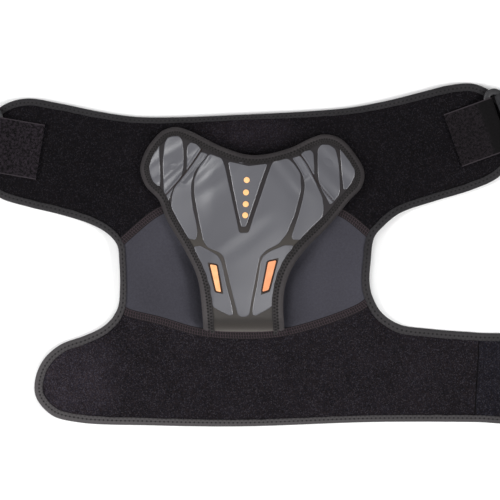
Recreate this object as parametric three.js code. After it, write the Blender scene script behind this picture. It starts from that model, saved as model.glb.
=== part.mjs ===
// Wrap-around shoulder brace of bound neoprene, laid open and flat.
// Millimetres, +Z up, the floor at z = 0, +X to the right and +Y to the top as it is seen from above.
import * as THREE from 'three';

// Cloth, tape and gaps.
const clothThickness = 3.5;
const tapeThickness = 0.9;
const gap = 0.3;
const bodyTapeWidth = 7.8;
const padTapeWidth = 7.4;
const seamGap = 0.4;

// The shoulder cup: a low dome in the middle of the body.
const dome = { x: -11, y: 22, radiusX: 170, radiusY: 135, height: 12 };

// The yoke lies on the returning strap, so it stands higher than the arm band.
const strapLift = { height: 1.7, fromY: -40, toY: 10 };

// The padded flap, which stands off the body in the middle and lies on it at its ears and foot.
const pad = { axisX: -8, thickness: 5, lowThickness: 3.5, lowFromY: -68, lowToY: -28, bottomY: -71 };
const slack = { height: 5.5, riseFromY: -68, riseToY: -26, earFrom: 30, earTo: 80 };
const padSeat = { axisX: -11.5, flatHalf: 18, tapeHalf: 27, toY: -62 };

// Thin things on the flap.
const film = { lift: 0.7, thickness: 0.4 };
const trim = { lift: 0.3, thickness: 0.4 };
const dotRadius = 2.7;
const hookThickness = 0.9;

// Tabs, rings and the strap between them. Distances run outwards from the tab's free end.
const tab = { width: 50, thickness: 1.1, bendFrom: 22, bendTo: 37 };
const ring = { at: 38, length: 18, width: 64, thickness: 3, corner: 4, bevel: 0.4 };
const ringSlot = { length: 6, width: 53, corner: 1.2 };
const strap = { width: 50, thickness: 1.4, foldAt: 60, tailFrom: 62, tailTo: 64, control: { x: 38, y: 53 } };

// Rows of numbers become objects with named columns.
function table(columns, rows) {
  const names = columns.split(' ');
  return rows.map((row) => Object.fromEntries(names.map((name, i) => [name, row[i]])));
}

// The outline of the body, clockwise from the left end of the yoke's top edge.
// Each stretch runs on to the first point of the next, with so many steps from point to point.
const outline = table('name steps points', [
  ['yokeTopLeft', 2, [[-231.5, 133], [-220.5, 138.5], [-206, 141], [-177.5, 136.5], [-141.5, 129]]],
  ['yokeTopMid', 3, [[-110, 124.5], [-74, 124], [-11, 126.5], [47.5, 129.5]]],
  ['yokeTopRight', 2, [[85.5, 133], [119.5, 139.5], [151, 147.5], [173.5, 153], [196, 154]]],
  ['yokeEndRight', 2, [[216, 144], [229.5, 130.5], [237, 108], [230.5, 84.5]]],
  ['armRight', 2, [[216, 69], [191.5, 58], [160, 48.5], [128.5, 37.5], [113.5, 25.5]]],
  ['waistRight', 2, [[105.5, 15.5], [102.5, -4.5], [101.5, -26]]],
  ['bandTopRight', 2, [[104.5, -38.5], [112.5, -52], [128.5, -62.5], [155.5, -66.5]]],
  ['tipTop', 4, [[200, -70]]],
  ['tipEnd', 2, [[232, -72], [249.5, -81], [258.5, -100], [258.5, -122.5], [249.5, -141.5]]],
  ['tipBottom', 4, [[232, -151]]],
  ['bandBottom', 7, [[195.5, -150.5], [105, -150.5], [-15.5, -154.5], [-96.5, -153.5]]],
  ['bandEnd', 2, [[-159.5, -151], [-184.5, -144.5], [-199, -128.5], [-200, -112.5], [-192.5, -94.5]]],
  ['bandTopLeft', 2, [[-177.5, -81], [-155, -72.5], [-139.5, -65], [-129.5, -55.5]]],
  ['waistLeft', 2, [[-125, -46], [-123.5, -29.5], [-124, -6.5]]],
  ['armLeft', 2, [[-126, 9], [-135, 19.5], [-150.5, 28], [-177.5, 36.5], [-204.5, 43]]],
  ['yokeEndLeft', 2, [[-231.5, 51.5], [-245.5, 63], [-252.5, 90], [-246.5, 119]]],
]);

// The body's tape in four runs, each from the start of one stretch of the outline to that of another.
const tapeRuns = table('name from to', [
  ['binding_yoke', 'yokeEndLeft', 'armRight'],
  ['binding_underarm_right', 'armRight', 'tipTop'],
  ['binding_band', 'tipTop', 'bandTopLeft'],
  ['binding_underarm_left', 'bandTopLeft', 'yokeEndLeft'],
]);

// The seams across the body, from the left waist to the right one, without their ends.
const seamSteps = 12;
const upperSeamPoints = table('x y', [[-86.5, 40], [-48.5, 50.5], [-11, 54], [29.5, 50.5], [75.5, 38]]);
const lowerSeamPoints = table('x y', [[-118, -51], [-87.5, -59], [-51.5, -70], [-13.5, -73.5], [20.5, -71],
  [56.5, -61], [92.5, -47]]);

// The outline of the flap, from its lower left corner round the two ears to its lower right corner.
const padOutline = table('name steps points', [
  ['lowLeft', 3, [[-48, -71], [-49.5, -47.5]]],
  ['sideLeft', 2, [[-53.5, -20.5], [-65, 4.5], [-81, 31.5], [-88.5, 49.5], [-100, 62], [-105, 76.5],
    [-101.5, 91]]],
  ['top', 2, [[-93.5, 103.5], [-84.5, 112], [-73, 115], [-60.5, 111.5], [-33.5, 98], [-11, 90.5], [4.5, 90],
    [29.5, 96], [49.5, 105.5], [61, 108.5], [74.5, 105]]],
  ['sideRight', 2, [[88, 91], [96.5, 74.5], [94, 61], [83.5, 49.5], [65, 27], [43, 4.5], [31.5, -11.5]]],
  ['lowRight', 3, [[25, -29.5], [23.5, -46], [25, -71]]],
]);

// Film plates, a row for each level from below: its y, and where the plate starts and ends on it.
const plates = {
  film_vee: [[25, -13, -10.5], [36, -16, -5.5], [58.5, -20, 2], [82, -25, 9]],
  film_flank_left: [[15, -61, -54], [28, -69, -54.5], [42.5, -75.5, -57.5], [53, -75.5, -59],
    [64, -69.5, -59], [75.5, -61, -57], [89, -51, -49.5]],
  film_flank_right: [[14, 33, 37], [24.5, 33.5, 47.5], [35, 37, 57], [47, 40.5, 59], [58.5, 42.5, 56],
    [69.5, 42, 48.5], [82, 36.5, 38]],
  film_lower_left: [[-53, -26, -22], [-47.5, -38, -22.5], [-40.5, -40.5, -24.5], [-27, -43, -27.5],
    [-13.5, -46.5, -30], [-2, -51.5, -34], [6.5, -55.5, -50]],
  film_lower_right: [[-53, -3.5, 0], [-47.5, -4, 11], [-40.5, -2.5, 15], [-27, 0, 16.5], [-13.5, 2, 20],
    [-2, 5, 25], [4.5, 13.5, 30], [8.5, 28, 33]],
  film_ear_left_outer: [[63.5, -91, -88], [69.5, -94.5, -87], [76.5, -96, -87.5], [85.5, -94.5, -88],
    [92.5, -91.5, -88.5], [95.5, -90, -88.5]],
  film_ear_left_mid: [[56, -81.5, -80], [63, -84, -74], [72, -84, -67], [85.5, -84.5, -65.5],
    [98, -83, -66.5], [104.5, -78, -71]],
  film_ear_left_inner: [[77.5, -63, -61.5], [88, -63, -55], [94.5, -63, -51], [99.5, -61, -57]],
  film_ear_right_inner: [[72, 50.5, 52], [81, 42, 51.5], [87, 37, 51], [92, 43, 48.5]],
  film_ear_right_mid: [[50.5, 68.5, 70], [56, 64, 74], [65.5, 57, 74.5], [76.5, 54.5, 74], [90, 54.5, 71.5],
    [97.5, 56, 65]],
  film_ear_right_outer: [[60.5, 78, 80.5], [65.5, 77.5, 84.5], [73, 76.5, 86.5], [80, 76, 85.5],
    [87, 75, 80.5], [92, 74.5, 76]],
};

// The middle plate is carried round the foot of the vee, a row for each ruling from its inner edge out.
const centerPlate = table('innerX innerY outerX outerY', [
  [-30, 84.5, -42.5, 88.5], [-28, 76, -50.5, 81], [-26, 67.5, -55, 73], [-21.5, 47, -55, 49.5],
  [-17.5, 28, -50.5, 21.5], [-16, 22, -44, 7.5], [-14, 20.5, -29.5, -1.5], [-13, 20, -26.5, -16],
  [-12.5, 20, -23, -31], [-12, 20, -20, -44], [-11.5, 20, -17, -54], [-11, 20, -7.5, -54],
  [-10.5, 20, -5, -42], [-9.5, 20.5, -2.5, -27], [-9, 20.5, 0, -13], [-8, 21.5, 3, -0.5],
  [-6, 26, 20.5, 11], [-1, 42.5, 32, 30], [6, 62, 39.5, 58.5], [9.5, 72, 37, 74], [13, 81.5, 29, 86],
]);

// Orange bars by levels, and dots by their middles.
const bars = {
  bar_left: [[-33, -36.5, -32], [-20.5, -39.5, -34], [-8.5, -42, -36.5]],
  bar_right: [[-32.5, 5, 10], [-18, 8.5, 14.5], [-5, 11.5, 17]],
};
const dots = table('x y', [[-9, 67], [-10, 56], [-10, 45.5], [-10.5, 35.5]]);

// Hook patches under the ears and under the band's tip, by levels too.
const hooks = {
  ear_hook_left: [[60, -85, -76], [76, -93, -74], [92, -88, -74], [100, -82, -74]],
  ear_hook_right: [[60, 68, 80], [74, 62, 85], [86, 62, 79], [95, 62, 70]],
};
const bandHook = [[-138, 208, 238], [-110.5, 208, 247], [-84, 208, 238]];

// The two ends of the yoke: the middle of each tab's free end, and the way that it points outwards.
const yokeEnds = table('side x y degrees', [['left', -195, 92.5, 170.3], ['right', 176.5, 103, 19.8]]);

const finishes = {
  pile: { color: 0x151416, roughness: 0.95, metalness: 0 },
  knit: { color: 0x45444c, roughness: 0.85, metalness: 0 },
  tape: { color: 0x3a3a38, roughness: 0.8, metalness: 0 },
  rubber: { color: 0x3f3b35, roughness: 0.7, metalness: 0 },
  film: { color: 0x6f7276, roughness: 0.35, metalness: 0 },
  orange: { color: 0xffa66e, roughness: 0.45, metalness: 0 },
  hook: { color: 0x1d1a20, roughness: 0.9, metalness: 0 },
  plastic: { color: 0x141416, roughness: 0.4, metalness: 0 },
  elastic: { color: 0x1a1a1c, roughness: 0.85, metalness: 0 },
};

const brace = new THREE.Group();

function addPiece(name, geometry, finish) {
  const mesh = new THREE.Mesh(geometry, new THREE.MeshStandardMaterial(finishes[finish]));
  mesh.name = name;
  brace.add(mesh);
  return mesh;
}

const ramp = THREE.MathUtils.smoothstep;

// Heights of the cloth, worked out anywhere on the plan.
function bodyUnder(x, y) {
  const far = ((x - dome.x) / dome.radiusX) ** 2 + ((y - dome.y) / dome.radiusY) ** 2;
  const swell = dome.height * Math.max(0, 1 - far) ** 2;
  return tapeThickness + gap + strapLift.height * ramp(y, strapLift.fromY, strapLift.toY) + swell;
}

const bodyTop = (x, y) => bodyUnder(x, y) + clothThickness;

function padUnder(x, y) {
  const offTape = Math.max(ramp(y, pad.bottomY, padSeat.toY),
    ramp(Math.abs(x - padSeat.axisX), padSeat.flatHalf, padSeat.tapeHalf));
  const seat = gap + (tapeThickness + gap) * offTape;
  const ears = ramp(Math.abs(x - pad.axisX), slack.earFrom, slack.earTo);
  return bodyTop(x, y) + seat + slack.height * ramp(y, slack.riseFromY, slack.riseToY) * (1 - ears);
}

function padTop(x, y) {
  const full = ramp(y, pad.lowFromY, pad.lowToY);
  return padUnder(x, y) + pad.lowThickness + (pad.thickness - pad.lowThickness) * full;
}

const filmUnder = (x, y) => padTop(x, y) + film.lift;
const trimUnder = (x, y) => filmUnder(x, y) + film.thickness + trim.lift;
const earHookUnder = (x, y) => padUnder(x, y) - gap - hookThickness;

// Solid carried through rings of points, with end faces that index one ring.
function loft(rings, endFaces) {
  const count = rings[0].length;
  const points = rings.flat();
  const last = (rings.length - 1) * count;
  const faces = [];
  for (let near = 0; near < last; near += count) {
    const far = near + count;
    for (let j = 0; j < count; j++) {
      const k = (j + 1) % count;
      faces.push([near + j, near + k, far + k], [near + j, far + k, far + j]);
    }
  }
  for (const [a, b, c] of endFaces) {
    faces.push([c, b, a], [last + a, last + b, last + c]);
  }
  const volume = faces.reduce((sum, [a, b, c]) => {
    const normal = new THREE.Vector3().crossVectors(points[b], points[c]);
    return sum + points[a].dot(normal);
  }, 0);
  const geometry = new THREE.BufferGeometry().setFromPoints(points);
  geometry.setIndex((volume < 0 ? faces.map(([a, b, c]) => [a, c, b]) : faces).flat());
  return geometry;
}

// Sheet over a grid of plan points, from its underside to a constant or varying thickness above it.
function sheet(grid, under, top) {
  const across = grid[0].length;
  const rings = grid.map((line) => [
    ...line.map((p) => new THREE.Vector3(p.x, p.y, under(p.x, p.y))),
    ...line.map((p) => new THREE.Vector3(p.x, p.y, top(p.x, p.y))).reverse(),
  ]);
  const endFaces = [];
  for (let j = 0; j < across - 1; j++) {
    const above = 2 * across - 1 - j;
    endFaces.push([j, j + 1, above - 1], [j, above - 1, above]);
  }
  return loft(rings, endFaces);
}

const raised = (under, thickness) => (x, y) => under(x, y) + thickness;

// Grid stretched between four edges: near and far run one way, left and right the other.
function stretch(near, far, left, right) {
  const columns = near.length - 1;
  const rows = left.length - 1;
  return near.map((nearPoint, i) => left.map((leftPoint, j) => {
    const u = i / columns;
    const v = j / rows;
    const blend = (axis) => (1 - v) * nearPoint[axis] + v * far[i][axis]
      + (1 - u) * leftPoint[axis] + u * right[j][axis]
      - (1 - u) * (1 - v) * near[0][axis] - u * (1 - v) * near[columns][axis]
      - (1 - u) * v * far[0][axis] - u * v * far[columns][axis];
    return new THREE.Vector2(blend('x'), blend('y'));
  }));
}

// Grid ruled straight between two lines of points.
function ruled(first, second, steps) {
  return first.map((p, i) => {
    const line = [];
    for (let j = 0; j <= steps; j++) {
      line.push(new THREE.Vector2(p.x, p.y).lerp(second[i], j / steps));
    }
    return line;
  });
}

// Grid from rows of a level and where the piece starts and ends on it.
function levels(rows, steps) {
  const places = table('y left right', rows);
  const first = places.map(({ y, left }) => new THREE.Vector2(left, y));
  const second = places.map(({ y, right }) => new THREE.Vector2(right, y));
  return ruled(first, second, steps);
}

// Smooth edge through the stretches of an outline: where each stretch starts, and the edge moved inwards.
function edgeFrom(stretches, closed) {
  const knots = stretches.flatMap((run) => run.points.map(([x, y]) => new THREE.Vector3(x, y, 0)));
  const curve = new THREE.CatmullRomCurve3(knots, closed, 'centripetal');
  const spans = closed ? knots.length : knots.length - 1;
  const points = [];
  const starts = {};
  let knot = 0;
  for (const run of stretches) {
    starts[run.name] = points.length;
    for (let i = 0; i < run.points.length && knot < spans; i++, knot++) {
      for (let k = 0; k < run.steps; k++) {
        points.push(curve.getPoint((knot + k / run.steps) / spans));
      }
    }
  }
  if (!closed) points.push(curve.getPoint(1));
  const last = points.length - 1;
  const inward = points.map((p, i) => {
    const before = points[i > 0 ? i - 1 : closed ? last : 0];
    const after = points[i < last ? i + 1 : closed ? 0 : last];
    const along = new THREE.Vector2(after.x - before.x, after.y - before.y).normalize();
    return new THREE.Vector2(along.y, -along.x);
  });
  const plan = points.map((p) => new THREE.Vector2(p.x, p.y));
  const inset = (depth) => plan.map((p, i) => p.clone().addScaledVector(inward[i], depth));
  return { starts, inset };
}

// The points of one stretch of an inset edge, up to the first point of the next stretch.
function part(edge, insetPoints, name) {
  const places = Object.values(edge.starts);
  const from = edge.starts[name];
  const next = places[places.indexOf(from) + 1];
  if (next === undefined) return [...insetPoints.slice(from), insetPoints[0]];
  return insetPoints.slice(from, next + 1);
}

const joined = (...runs) => runs.flatMap((run, i) => (i === 0 ? run : run.slice(1)));
const reversed = (run) => [...run].reverse();

// Section of a folded tape: depth in from the edge, with heights from the cloth's underside or its top.
function tapeSection(width) {
  const fold = tapeThickness + gap;
  return table('depth side lift', [
    [width, 'under', -fold], [fold, 'under', -fold], [0, 'middle', 0], [fold, 'top', fold],
    [width, 'top', fold], [width, 'top', gap], [tapeThickness, 'top', gap], [tapeThickness, 'under', -gap],
    [width, 'under', -gap],
  ]);
}

// The tape's section at each point of an edge.
function tapeRings(edge, width, under, top) {
  const runs = tapeSection(width).map(({ depth, side, lift }) => edge.inset(depth).map((p) => {
    const low = under(p.x, p.y);
    const high = top(p.x, p.y);
    const base = { under: low, top: high, middle: (low + high) / 2 }[side];
    return new THREE.Vector3(p.x, p.y, base + lift);
  }));
  return runs[0].map((_, i) => runs.map((run) => run[i]));
}

// The rings of one run, the last drawn back to leave a gap before the next run.
function tapeRun(rings, from, to) {
  const run = from < to ? rings.slice(from, to + 1) : [...rings.slice(from), ...rings.slice(0, to + 1)];
  const [before, last] = run.slice(-2);
  const share = gap / before[0].distanceTo(last[0]);
  return [...run.slice(0, -1), last.map((p, i) => p.clone().lerp(before[i], share))];
}

function tape(rings, width) {
  const flat = { under: 0, middle: clothThickness / 2, top: clothThickness };
  const profile = tapeSection(width).map(({ depth, side, lift }) => {
    return new THREE.Vector2(-depth, flat[side] + lift);
  });
  return loft(rings, THREE.ShapeUtils.triangulateShape(profile, []));
}

// Flat ribbon along a path, with the way across it given at each point.
function ribbon(path, width, thickness) {
  const rings = path.map(({ point, side }, i) => {
    const before = path[Math.max(i - 1, 0)].point;
    const after = path[Math.min(i + 1, path.length - 1)].point;
    const along = after.clone().sub(before);
    const up = new THREE.Vector3().crossVectors(along, side).normalize().multiplyScalar(thickness / 2);
    const out = side.clone().multiplyScalar(width / 2);
    const corner = (outSign, upSign) => {
      return point.clone().addScaledVector(out, outSign).addScaledVector(up, upSign);
    };
    return [corner(-1, -1), corner(1, -1), corner(1, 1), corner(-1, 1)];
  });
  return loft(rings, [[0, 1, 2], [0, 2, 3]]);
}

// Body panels.
const rim = edgeFrom(outline, true);
const clothEdge = rim.inset(tapeThickness + gap);
const stretchOf = (name) => part(rim, clothEdge, name);

function seam(points, from, to) {
  const knots = [from, ...points, to].map((p) => new THREE.Vector3(p.x, p.y, 0));
  return new THREE.CatmullRomCurve3(knots, false, 'centripetal').getSpacedPoints(seamSteps);
}

const upperSeam = seam(upperSeamPoints, stretchOf('armLeft')[0], stretchOf('waistRight')[0]);
const lowerSeam = seam(lowerSeamPoints, stretchOf('waistLeft')[0], stretchOf('bandTopRight')[0]);
const bodyPanel = (name, grid, finish) => addPiece(name, sheet(grid, bodyUnder, bodyTop), finish);

function addYoke() {
  const near = joined(reversed(stretchOf('armLeft')), upperSeam, reversed(stretchOf('armRight')));
  const far = joined(stretchOf('yokeTopLeft'), stretchOf('yokeTopMid'), stretchOf('yokeTopRight'));
  const grid = stretch(near, far, stretchOf('yokeEndLeft'), reversed(stretchOf('yokeEndRight')));
  bodyPanel('yoke', grid, 'pile');
}

function addMidPanel() {
  const grid = stretch(lowerSeam, upperSeam, stretchOf('waistLeft'), reversed(stretchOf('waistRight')));
  for (const line of grid) line.at(-1).y -= seamGap;
  bodyPanel('mid_panel', grid, 'knit');
}

const tipSeamFrom = stretchOf('bandBottom')[0];
const tipSeamTo = stretchOf('tipTop')[0];
const tipSeam = ruled([tipSeamFrom], [tipSeamTo], stretchOf('tipEnd').length - 1)[0];

function addArmBand() {
  const near = reversed(stretchOf('bandBottom'));
  const far = joined(stretchOf('bandTopLeft'), lowerSeam, stretchOf('bandTopRight'));
  const grid = stretch(near, far, stretchOf('bandEnd'), tipSeam);
  const seamFrom = stretchOf('bandTopLeft').length - 1;
  for (const line of grid.slice(seamFrom, seamFrom + lowerSeam.length)) line.at(-1).y -= seamGap;
  bodyPanel('arm_band', grid, 'pile');
}

function addBodyTape() {
  const rings = tapeRings(rim, bodyTapeWidth, bodyUnder, bodyTop);
  for (const { name, from, to } of tapeRuns) {
    addPiece(name, tape(tapeRun(rings, rim.starts[from], rim.starts[to]), bodyTapeWidth), 'tape');
  }
}

function addBandTip() {
  const near = reversed(stretchOf('tipBottom'));
  const grid = stretch(near, stretchOf('tipTop'), tipSeam, reversed(stretchOf('tipEnd')));
  for (const p of grid[0]) p.x += seamGap;
  bodyPanel('band_tip', grid, 'pile');
  addPiece('band_hook', sheet(levels(bandHook, 2), () => 0, () => hookThickness), 'hook');
}

// The flap and what is on it.
const padRim = edgeFrom(padOutline, false);

function addPad() {
  const edge = padRim.inset(tapeThickness + gap);
  const left = joined(part(padRim, edge, 'lowLeft'), part(padRim, edge, 'sideLeft'));
  const top = part(padRim, edge, 'top');
  const right = reversed(edge.slice(padRim.starts.sideRight));
  const bottom = top.map((_, i) => left[0].clone().lerp(right[0], i / (top.length - 1)));
  addPiece('pad', sheet(stretch(bottom, top, left, right), padUnder, padTop), 'rubber');
  addPiece('pad_binding', tape(tapeRings(padRim, padTapeWidth, padUnder, padTop), padTapeWidth), 'tape');
}

function addFilms() {
  const acrossPlate = 3;
  const acrossCenter = 8;
  const inner = centerPlate.map((row) => new THREE.Vector2(row.innerX, row.innerY));
  const outer = centerPlate.map((row) => new THREE.Vector2(row.outerX, row.outerY));
  const filmTop = raised(filmUnder, film.thickness);
  addPiece('film_center', sheet(ruled(inner, outer, acrossCenter), filmUnder, filmTop), 'film');
  for (const [name, rows] of Object.entries(plates)) {
    addPiece(name, sheet(levels(rows, acrossPlate), filmUnder, filmTop), 'film');
  }
}

function addTrim() {
  const dotSides = 14;
  for (const [name, rows] of Object.entries(bars)) {
    addPiece(name, sheet(levels(rows, 1), trimUnder, raised(trimUnder, trim.thickness)), 'orange');
  }
  dots.forEach(({ x, y }, i) => {
    const disc = new THREE.CylinderGeometry(dotRadius, dotRadius, trim.thickness, dotSides);
    const mesh = addPiece(`dot_${i + 1}`, disc, 'orange');
    mesh.rotation.x = Math.PI / 2;
    mesh.position.set(x, y, trimUnder(x, y) + trim.thickness / 2);
  });
  for (const [name, rows] of Object.entries(hooks)) {
    addPiece(name, sheet(levels(rows, 2), earHookUnder, raised(earHookUnder, hookThickness)), 'hook');
  }
}

// Ends of the yoke. Heights come from the flat cloth there, the ring lying clear above its tape.
const endCloth = tapeThickness + gap + strapLift.height + clothThickness;
const upperRun = endCloth + tapeThickness + 2 * gap + strap.thickness / 2;
const ringBottom = upperRun + strap.thickness / 2 + gap;
const ringTop = ringBottom + ring.thickness;
const innerBarEnd = ring.at + (ring.length - ringSlot.length) / 2;
const outerBarStart = innerBarEnd + ringSlot.length;

// Rounded turn in a path of distance and height.
function turn(centerS, centerZ, radius, fromDegrees, toDegrees, steps) {
  const places = [];
  for (let i = 0; i <= steps; i++) {
    const angle = THREE.MathUtils.degToRad(fromDegrees + (toDegrees - fromDegrees) * (i / steps));
    places.push({ s: centerS + radius * Math.cos(angle), z: centerZ + radius * Math.sin(angle) });
  }
  return places;
}

// Smooth slope in a path of distance and height.
function slope(fromS, fromZ, toS, toZ, steps) {
  const places = [];
  for (let i = 0; i <= steps; i++) {
    places.push({ s: fromS + (toS - fromS) * (i / steps), z: fromZ + (toZ - fromZ) * ramp(i / steps, 0, 1) });
  }
  return places;
}

// A path of distance and height, placed at one end of the yoke.
function placed(end, places) {
  const angle = THREE.MathUtils.degToRad(end.degrees);
  const side = new THREE.Vector3(-Math.sin(angle), Math.cos(angle), 0);
  if (end.side === 'left') side.negate();
  return places.map(({ s, z }) => ({
    point: new THREE.Vector3(end.x + s * Math.cos(angle), end.y + s * Math.sin(angle), z),
    side,
  }));
}

function tabPath() {
  const half = tab.thickness / 2;
  const low = endCloth + gap + half;
  const high = low + tab.thickness + gap;
  const underBar = ringBottom - gap - half;
  const overBar = ringTop + gap + half;
  const radius = gap + half + ring.bevel;
  const bend = innerBarEnd - ring.bevel;
  const lowerLayer = slope(tab.bendFrom, low, tab.bendTo, underBar, 4);
  const upperLayer = slope(tab.bendTo, overBar, tab.bendFrom, high, 6);
  return [{ s: 2, z: low }, ...lowerLayer, ...turn(bend, underBar + radius, radius, -90, 0, 3),
    ...turn(bend, overBar - radius, radius, 0, 90, 3), ...upperLayer, { s: 0, z: high }];
}

// Strap end, from its sewn tail over and round the outer bar to the fold at the end of the yoke.
function strapEndPath() {
  const half = strap.thickness / 2;
  const radius = gap + half + ring.bevel;
  const bend = outerBarStart + ring.bevel;
  const overBar = ringTop + gap + half;
  const tail = upperRun + strap.thickness + gap;
  const foldRadius = (upperRun - half) / 2;
  const ringEnd = ring.at + ring.length + gap;
  return [{ s: strap.tailTo, z: tail }, ...slope(strap.tailFrom, tail, ringEnd, overBar, 4),
    ...turn(bend, overBar - radius, radius, 90, 180, 3),
    ...turn(bend, upperRun + radius, radius, 180, 270, 3),
    ...turn(strap.foldAt, half + foldRadius, foldRadius, 90, -90, 8)];
}

function addStrap() {
  const [leftEnd, rightEnd] = yokeEnds.map((end) => placed(end, strapEndPath()));
  const from = leftEnd.at(-1).point;
  const to = rightEnd.at(-1).point;
  const middle = new THREE.Vector3(strap.control.x, strap.control.y, from.z);
  const curve = new THREE.QuadraticBezierCurve3(from, middle, to);
  const runSteps = 20;
  const run = [];
  for (let i = 1; i < runSteps; i++) {
    const along = curve.getTangent(i / runSteps);
    run.push({ point: curve.getPoint(i / runSteps), side: new THREE.Vector3(-along.y, along.x, 0) });
  }
  const path = [...leftEnd, ...run, ...reversed(rightEnd)];
  addPiece('chest_strap', ribbon(path, strap.width, strap.thickness), 'elastic');
}

function roundedRectangle(shape, length, width, radius) {
  const x = length / 2;
  const y = width / 2;
  shape.moveTo(x - radius, -y);
  shape.absarc(x - radius, -y + radius, radius, -Math.PI / 2, 0);
  shape.absarc(x - radius, y - radius, radius, 0, Math.PI / 2);
  shape.absarc(-x + radius, y - radius, radius, Math.PI / 2, Math.PI);
  shape.absarc(-x + radius, -y + radius, radius, Math.PI, 1.5 * Math.PI);
  return shape;
}

function addYokeEnd(end) {
  addPiece(`tab_${end.side}`, ribbon(placed(end, tabPath()), tab.width, tab.thickness), 'hook');
  const shape = roundedRectangle(new THREE.Shape(), ring.length, ring.width, ring.corner);
  shape.holes.push(roundedRectangle(new THREE.Path(), ringSlot.length, ringSlot.width, ringSlot.corner));
  const geometry = new THREE.ExtrudeGeometry(shape, {
    depth: ring.thickness - 2 * ring.bevel,
    bevelThickness: ring.bevel,
    bevelSize: ring.bevel,
    bevelOffset: -ring.bevel,
    bevelSegments: 1,
    curveSegments: 2,
  });
  const mesh = addPiece(`ring_${end.side}`, geometry, 'plastic');
  const angle = THREE.MathUtils.degToRad(end.degrees);
  const middle = ring.at + ring.length / 2;
  mesh.rotation.z = angle;
  mesh.position.set(end.x, end.y, ringBottom + ring.bevel);
  mesh.translateX(middle);
}

addYoke();
addMidPanel();
addArmBand();
addBandTip();
addBodyTape();
addPad();
addFilms();
addTrim();
yokeEnds.forEach(addYokeEnd);
addStrap();

export default brace;
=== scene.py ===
import bpy
import numpy as np
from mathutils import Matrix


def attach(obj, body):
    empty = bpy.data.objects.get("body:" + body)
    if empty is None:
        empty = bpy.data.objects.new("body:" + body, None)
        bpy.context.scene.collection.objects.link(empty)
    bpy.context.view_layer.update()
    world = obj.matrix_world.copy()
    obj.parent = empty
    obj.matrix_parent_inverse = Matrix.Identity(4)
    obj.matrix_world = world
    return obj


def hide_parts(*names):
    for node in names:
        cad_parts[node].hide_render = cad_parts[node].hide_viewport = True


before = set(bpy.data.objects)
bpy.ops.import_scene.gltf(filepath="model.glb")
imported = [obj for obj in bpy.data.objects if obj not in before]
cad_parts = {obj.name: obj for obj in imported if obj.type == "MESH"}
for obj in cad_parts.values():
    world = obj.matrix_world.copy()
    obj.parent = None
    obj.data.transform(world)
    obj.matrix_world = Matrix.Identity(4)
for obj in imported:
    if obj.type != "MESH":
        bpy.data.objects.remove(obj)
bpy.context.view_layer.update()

# Shoulder brace laid open. Sizes below are millimetres, and meshes are scaled to metres as they are made.
mm = 0.001
dice = np.random.default_rng(41)
print("frame loaded:", len(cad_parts), "nodes")


# Small tools for lines and grids

def ease(value, low, high):  # smooth step from 0 at low to 1 at high
    t = np.clip((value - low) / (high - low), 0, 1)
    return t * t * (3 - 2 * t)


def unit(rows):
    return rows / np.maximum(np.linalg.norm(rows, axis=-1, keepdims=True), 1e-9)


def spline(knots, steps, closed=False):
    # centripetal Catmull-Rom: each span is a cubic whose end slopes come from the roots of the chord lengths
    p = np.asarray(knots, float)
    before, after = (p[-1:], p[:2]) if closed else (2 * p[:1] - p[1:2], 2 * p[-1:] - p[-2:-1])
    p = np.vstack([before, p, after])
    a, b, c, d = p[:-3], p[1:-2], p[2:-1], p[3:]
    roots = [np.sqrt(np.linalg.norm(far - near, axis=1))[:, None] for near, far in ((a, b), (b, c), (c, d))]
    ab, bc, cd = roots
    leave = (((b - a) / ab - (c - a) / (ab + bc) + (c - b) / bc) * bc)[:, None]
    arrive = (((c - b) / bc - (d - b) / (bc + cd) + (d - c) / cd) * bc)[:, None]
    t = np.linspace(0, 1, steps, endpoint=False)[None, :, None]
    line = (2 * t**3 - 3 * t**2 + 1) * b[:, None] + (t**3 - 2 * t**2 + t) * leave
    line = line + (3 * t**2 - 2 * t**3) * c[:, None] + (t**3 - t**2) * arrive
    line = line.reshape(-1, p.shape[1])
    return line if closed else np.vstack([line, p[-2]])


def lengthAlong(line, dims=2):
    return np.concatenate([[0], np.cumsum(np.linalg.norm(np.diff(line[:, :dims], axis=0), axis=1))])


def walk(line, run, at):  # each column of a line, read at given lengths of its run
    return [np.interp(at, run, column) for column in line.T]


def even(line, count, closed=False, dims=2):  # points at equal steps of length
    line = np.vstack([line, line[:1]]) if closed else line
    run = lengthAlong(line, dims)
    return np.stack(walk(line, run, np.linspace(0, run[-1], count, endpoint=not closed)), 1)


def rightOf(line, closed=False):  # unit vectors to the right of the way that a line runs
    along = np.roll(line, -1, 0) - np.roll(line, 1, 0) if closed else np.gradient(line, axis=0)
    along = unit(along[:, :2])
    return np.stack([along[:, 1], -along[:, 0]], 1)


def beside(line, right, away):  # plan places at distances to the right of each point of a line
    return [line[:, None, k] + right[:, None, k] * away for k in (0, 1)]


def lay(x, y, z):  # plan places and heights as points
    return np.stack([x, y, z], -1)


def farFrom(x, y, line):  # distance from each plan point to the nearest point of a line, in blocks
    flat = np.stack([np.ravel(x), np.ravel(y)], 1).astype(np.float32)
    spots = line[:, :2].astype(np.float32)
    parts = np.array_split(flat, 1 + len(flat) // 4000)
    nearest = [np.sqrt(((part[:, None] - spots) ** 2).sum(2).min(1)) for part in parts]
    return np.concatenate(nearest).reshape(np.shape(x)).astype(float)


def aside(x, y, line):  # signed distance to the right of the straight way from a line's start to its end
    way = unit(line[-1] - line[0])
    return (x - line[0, 0]) * way[1] - (y - line[0, 1]) * way[0]


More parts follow.
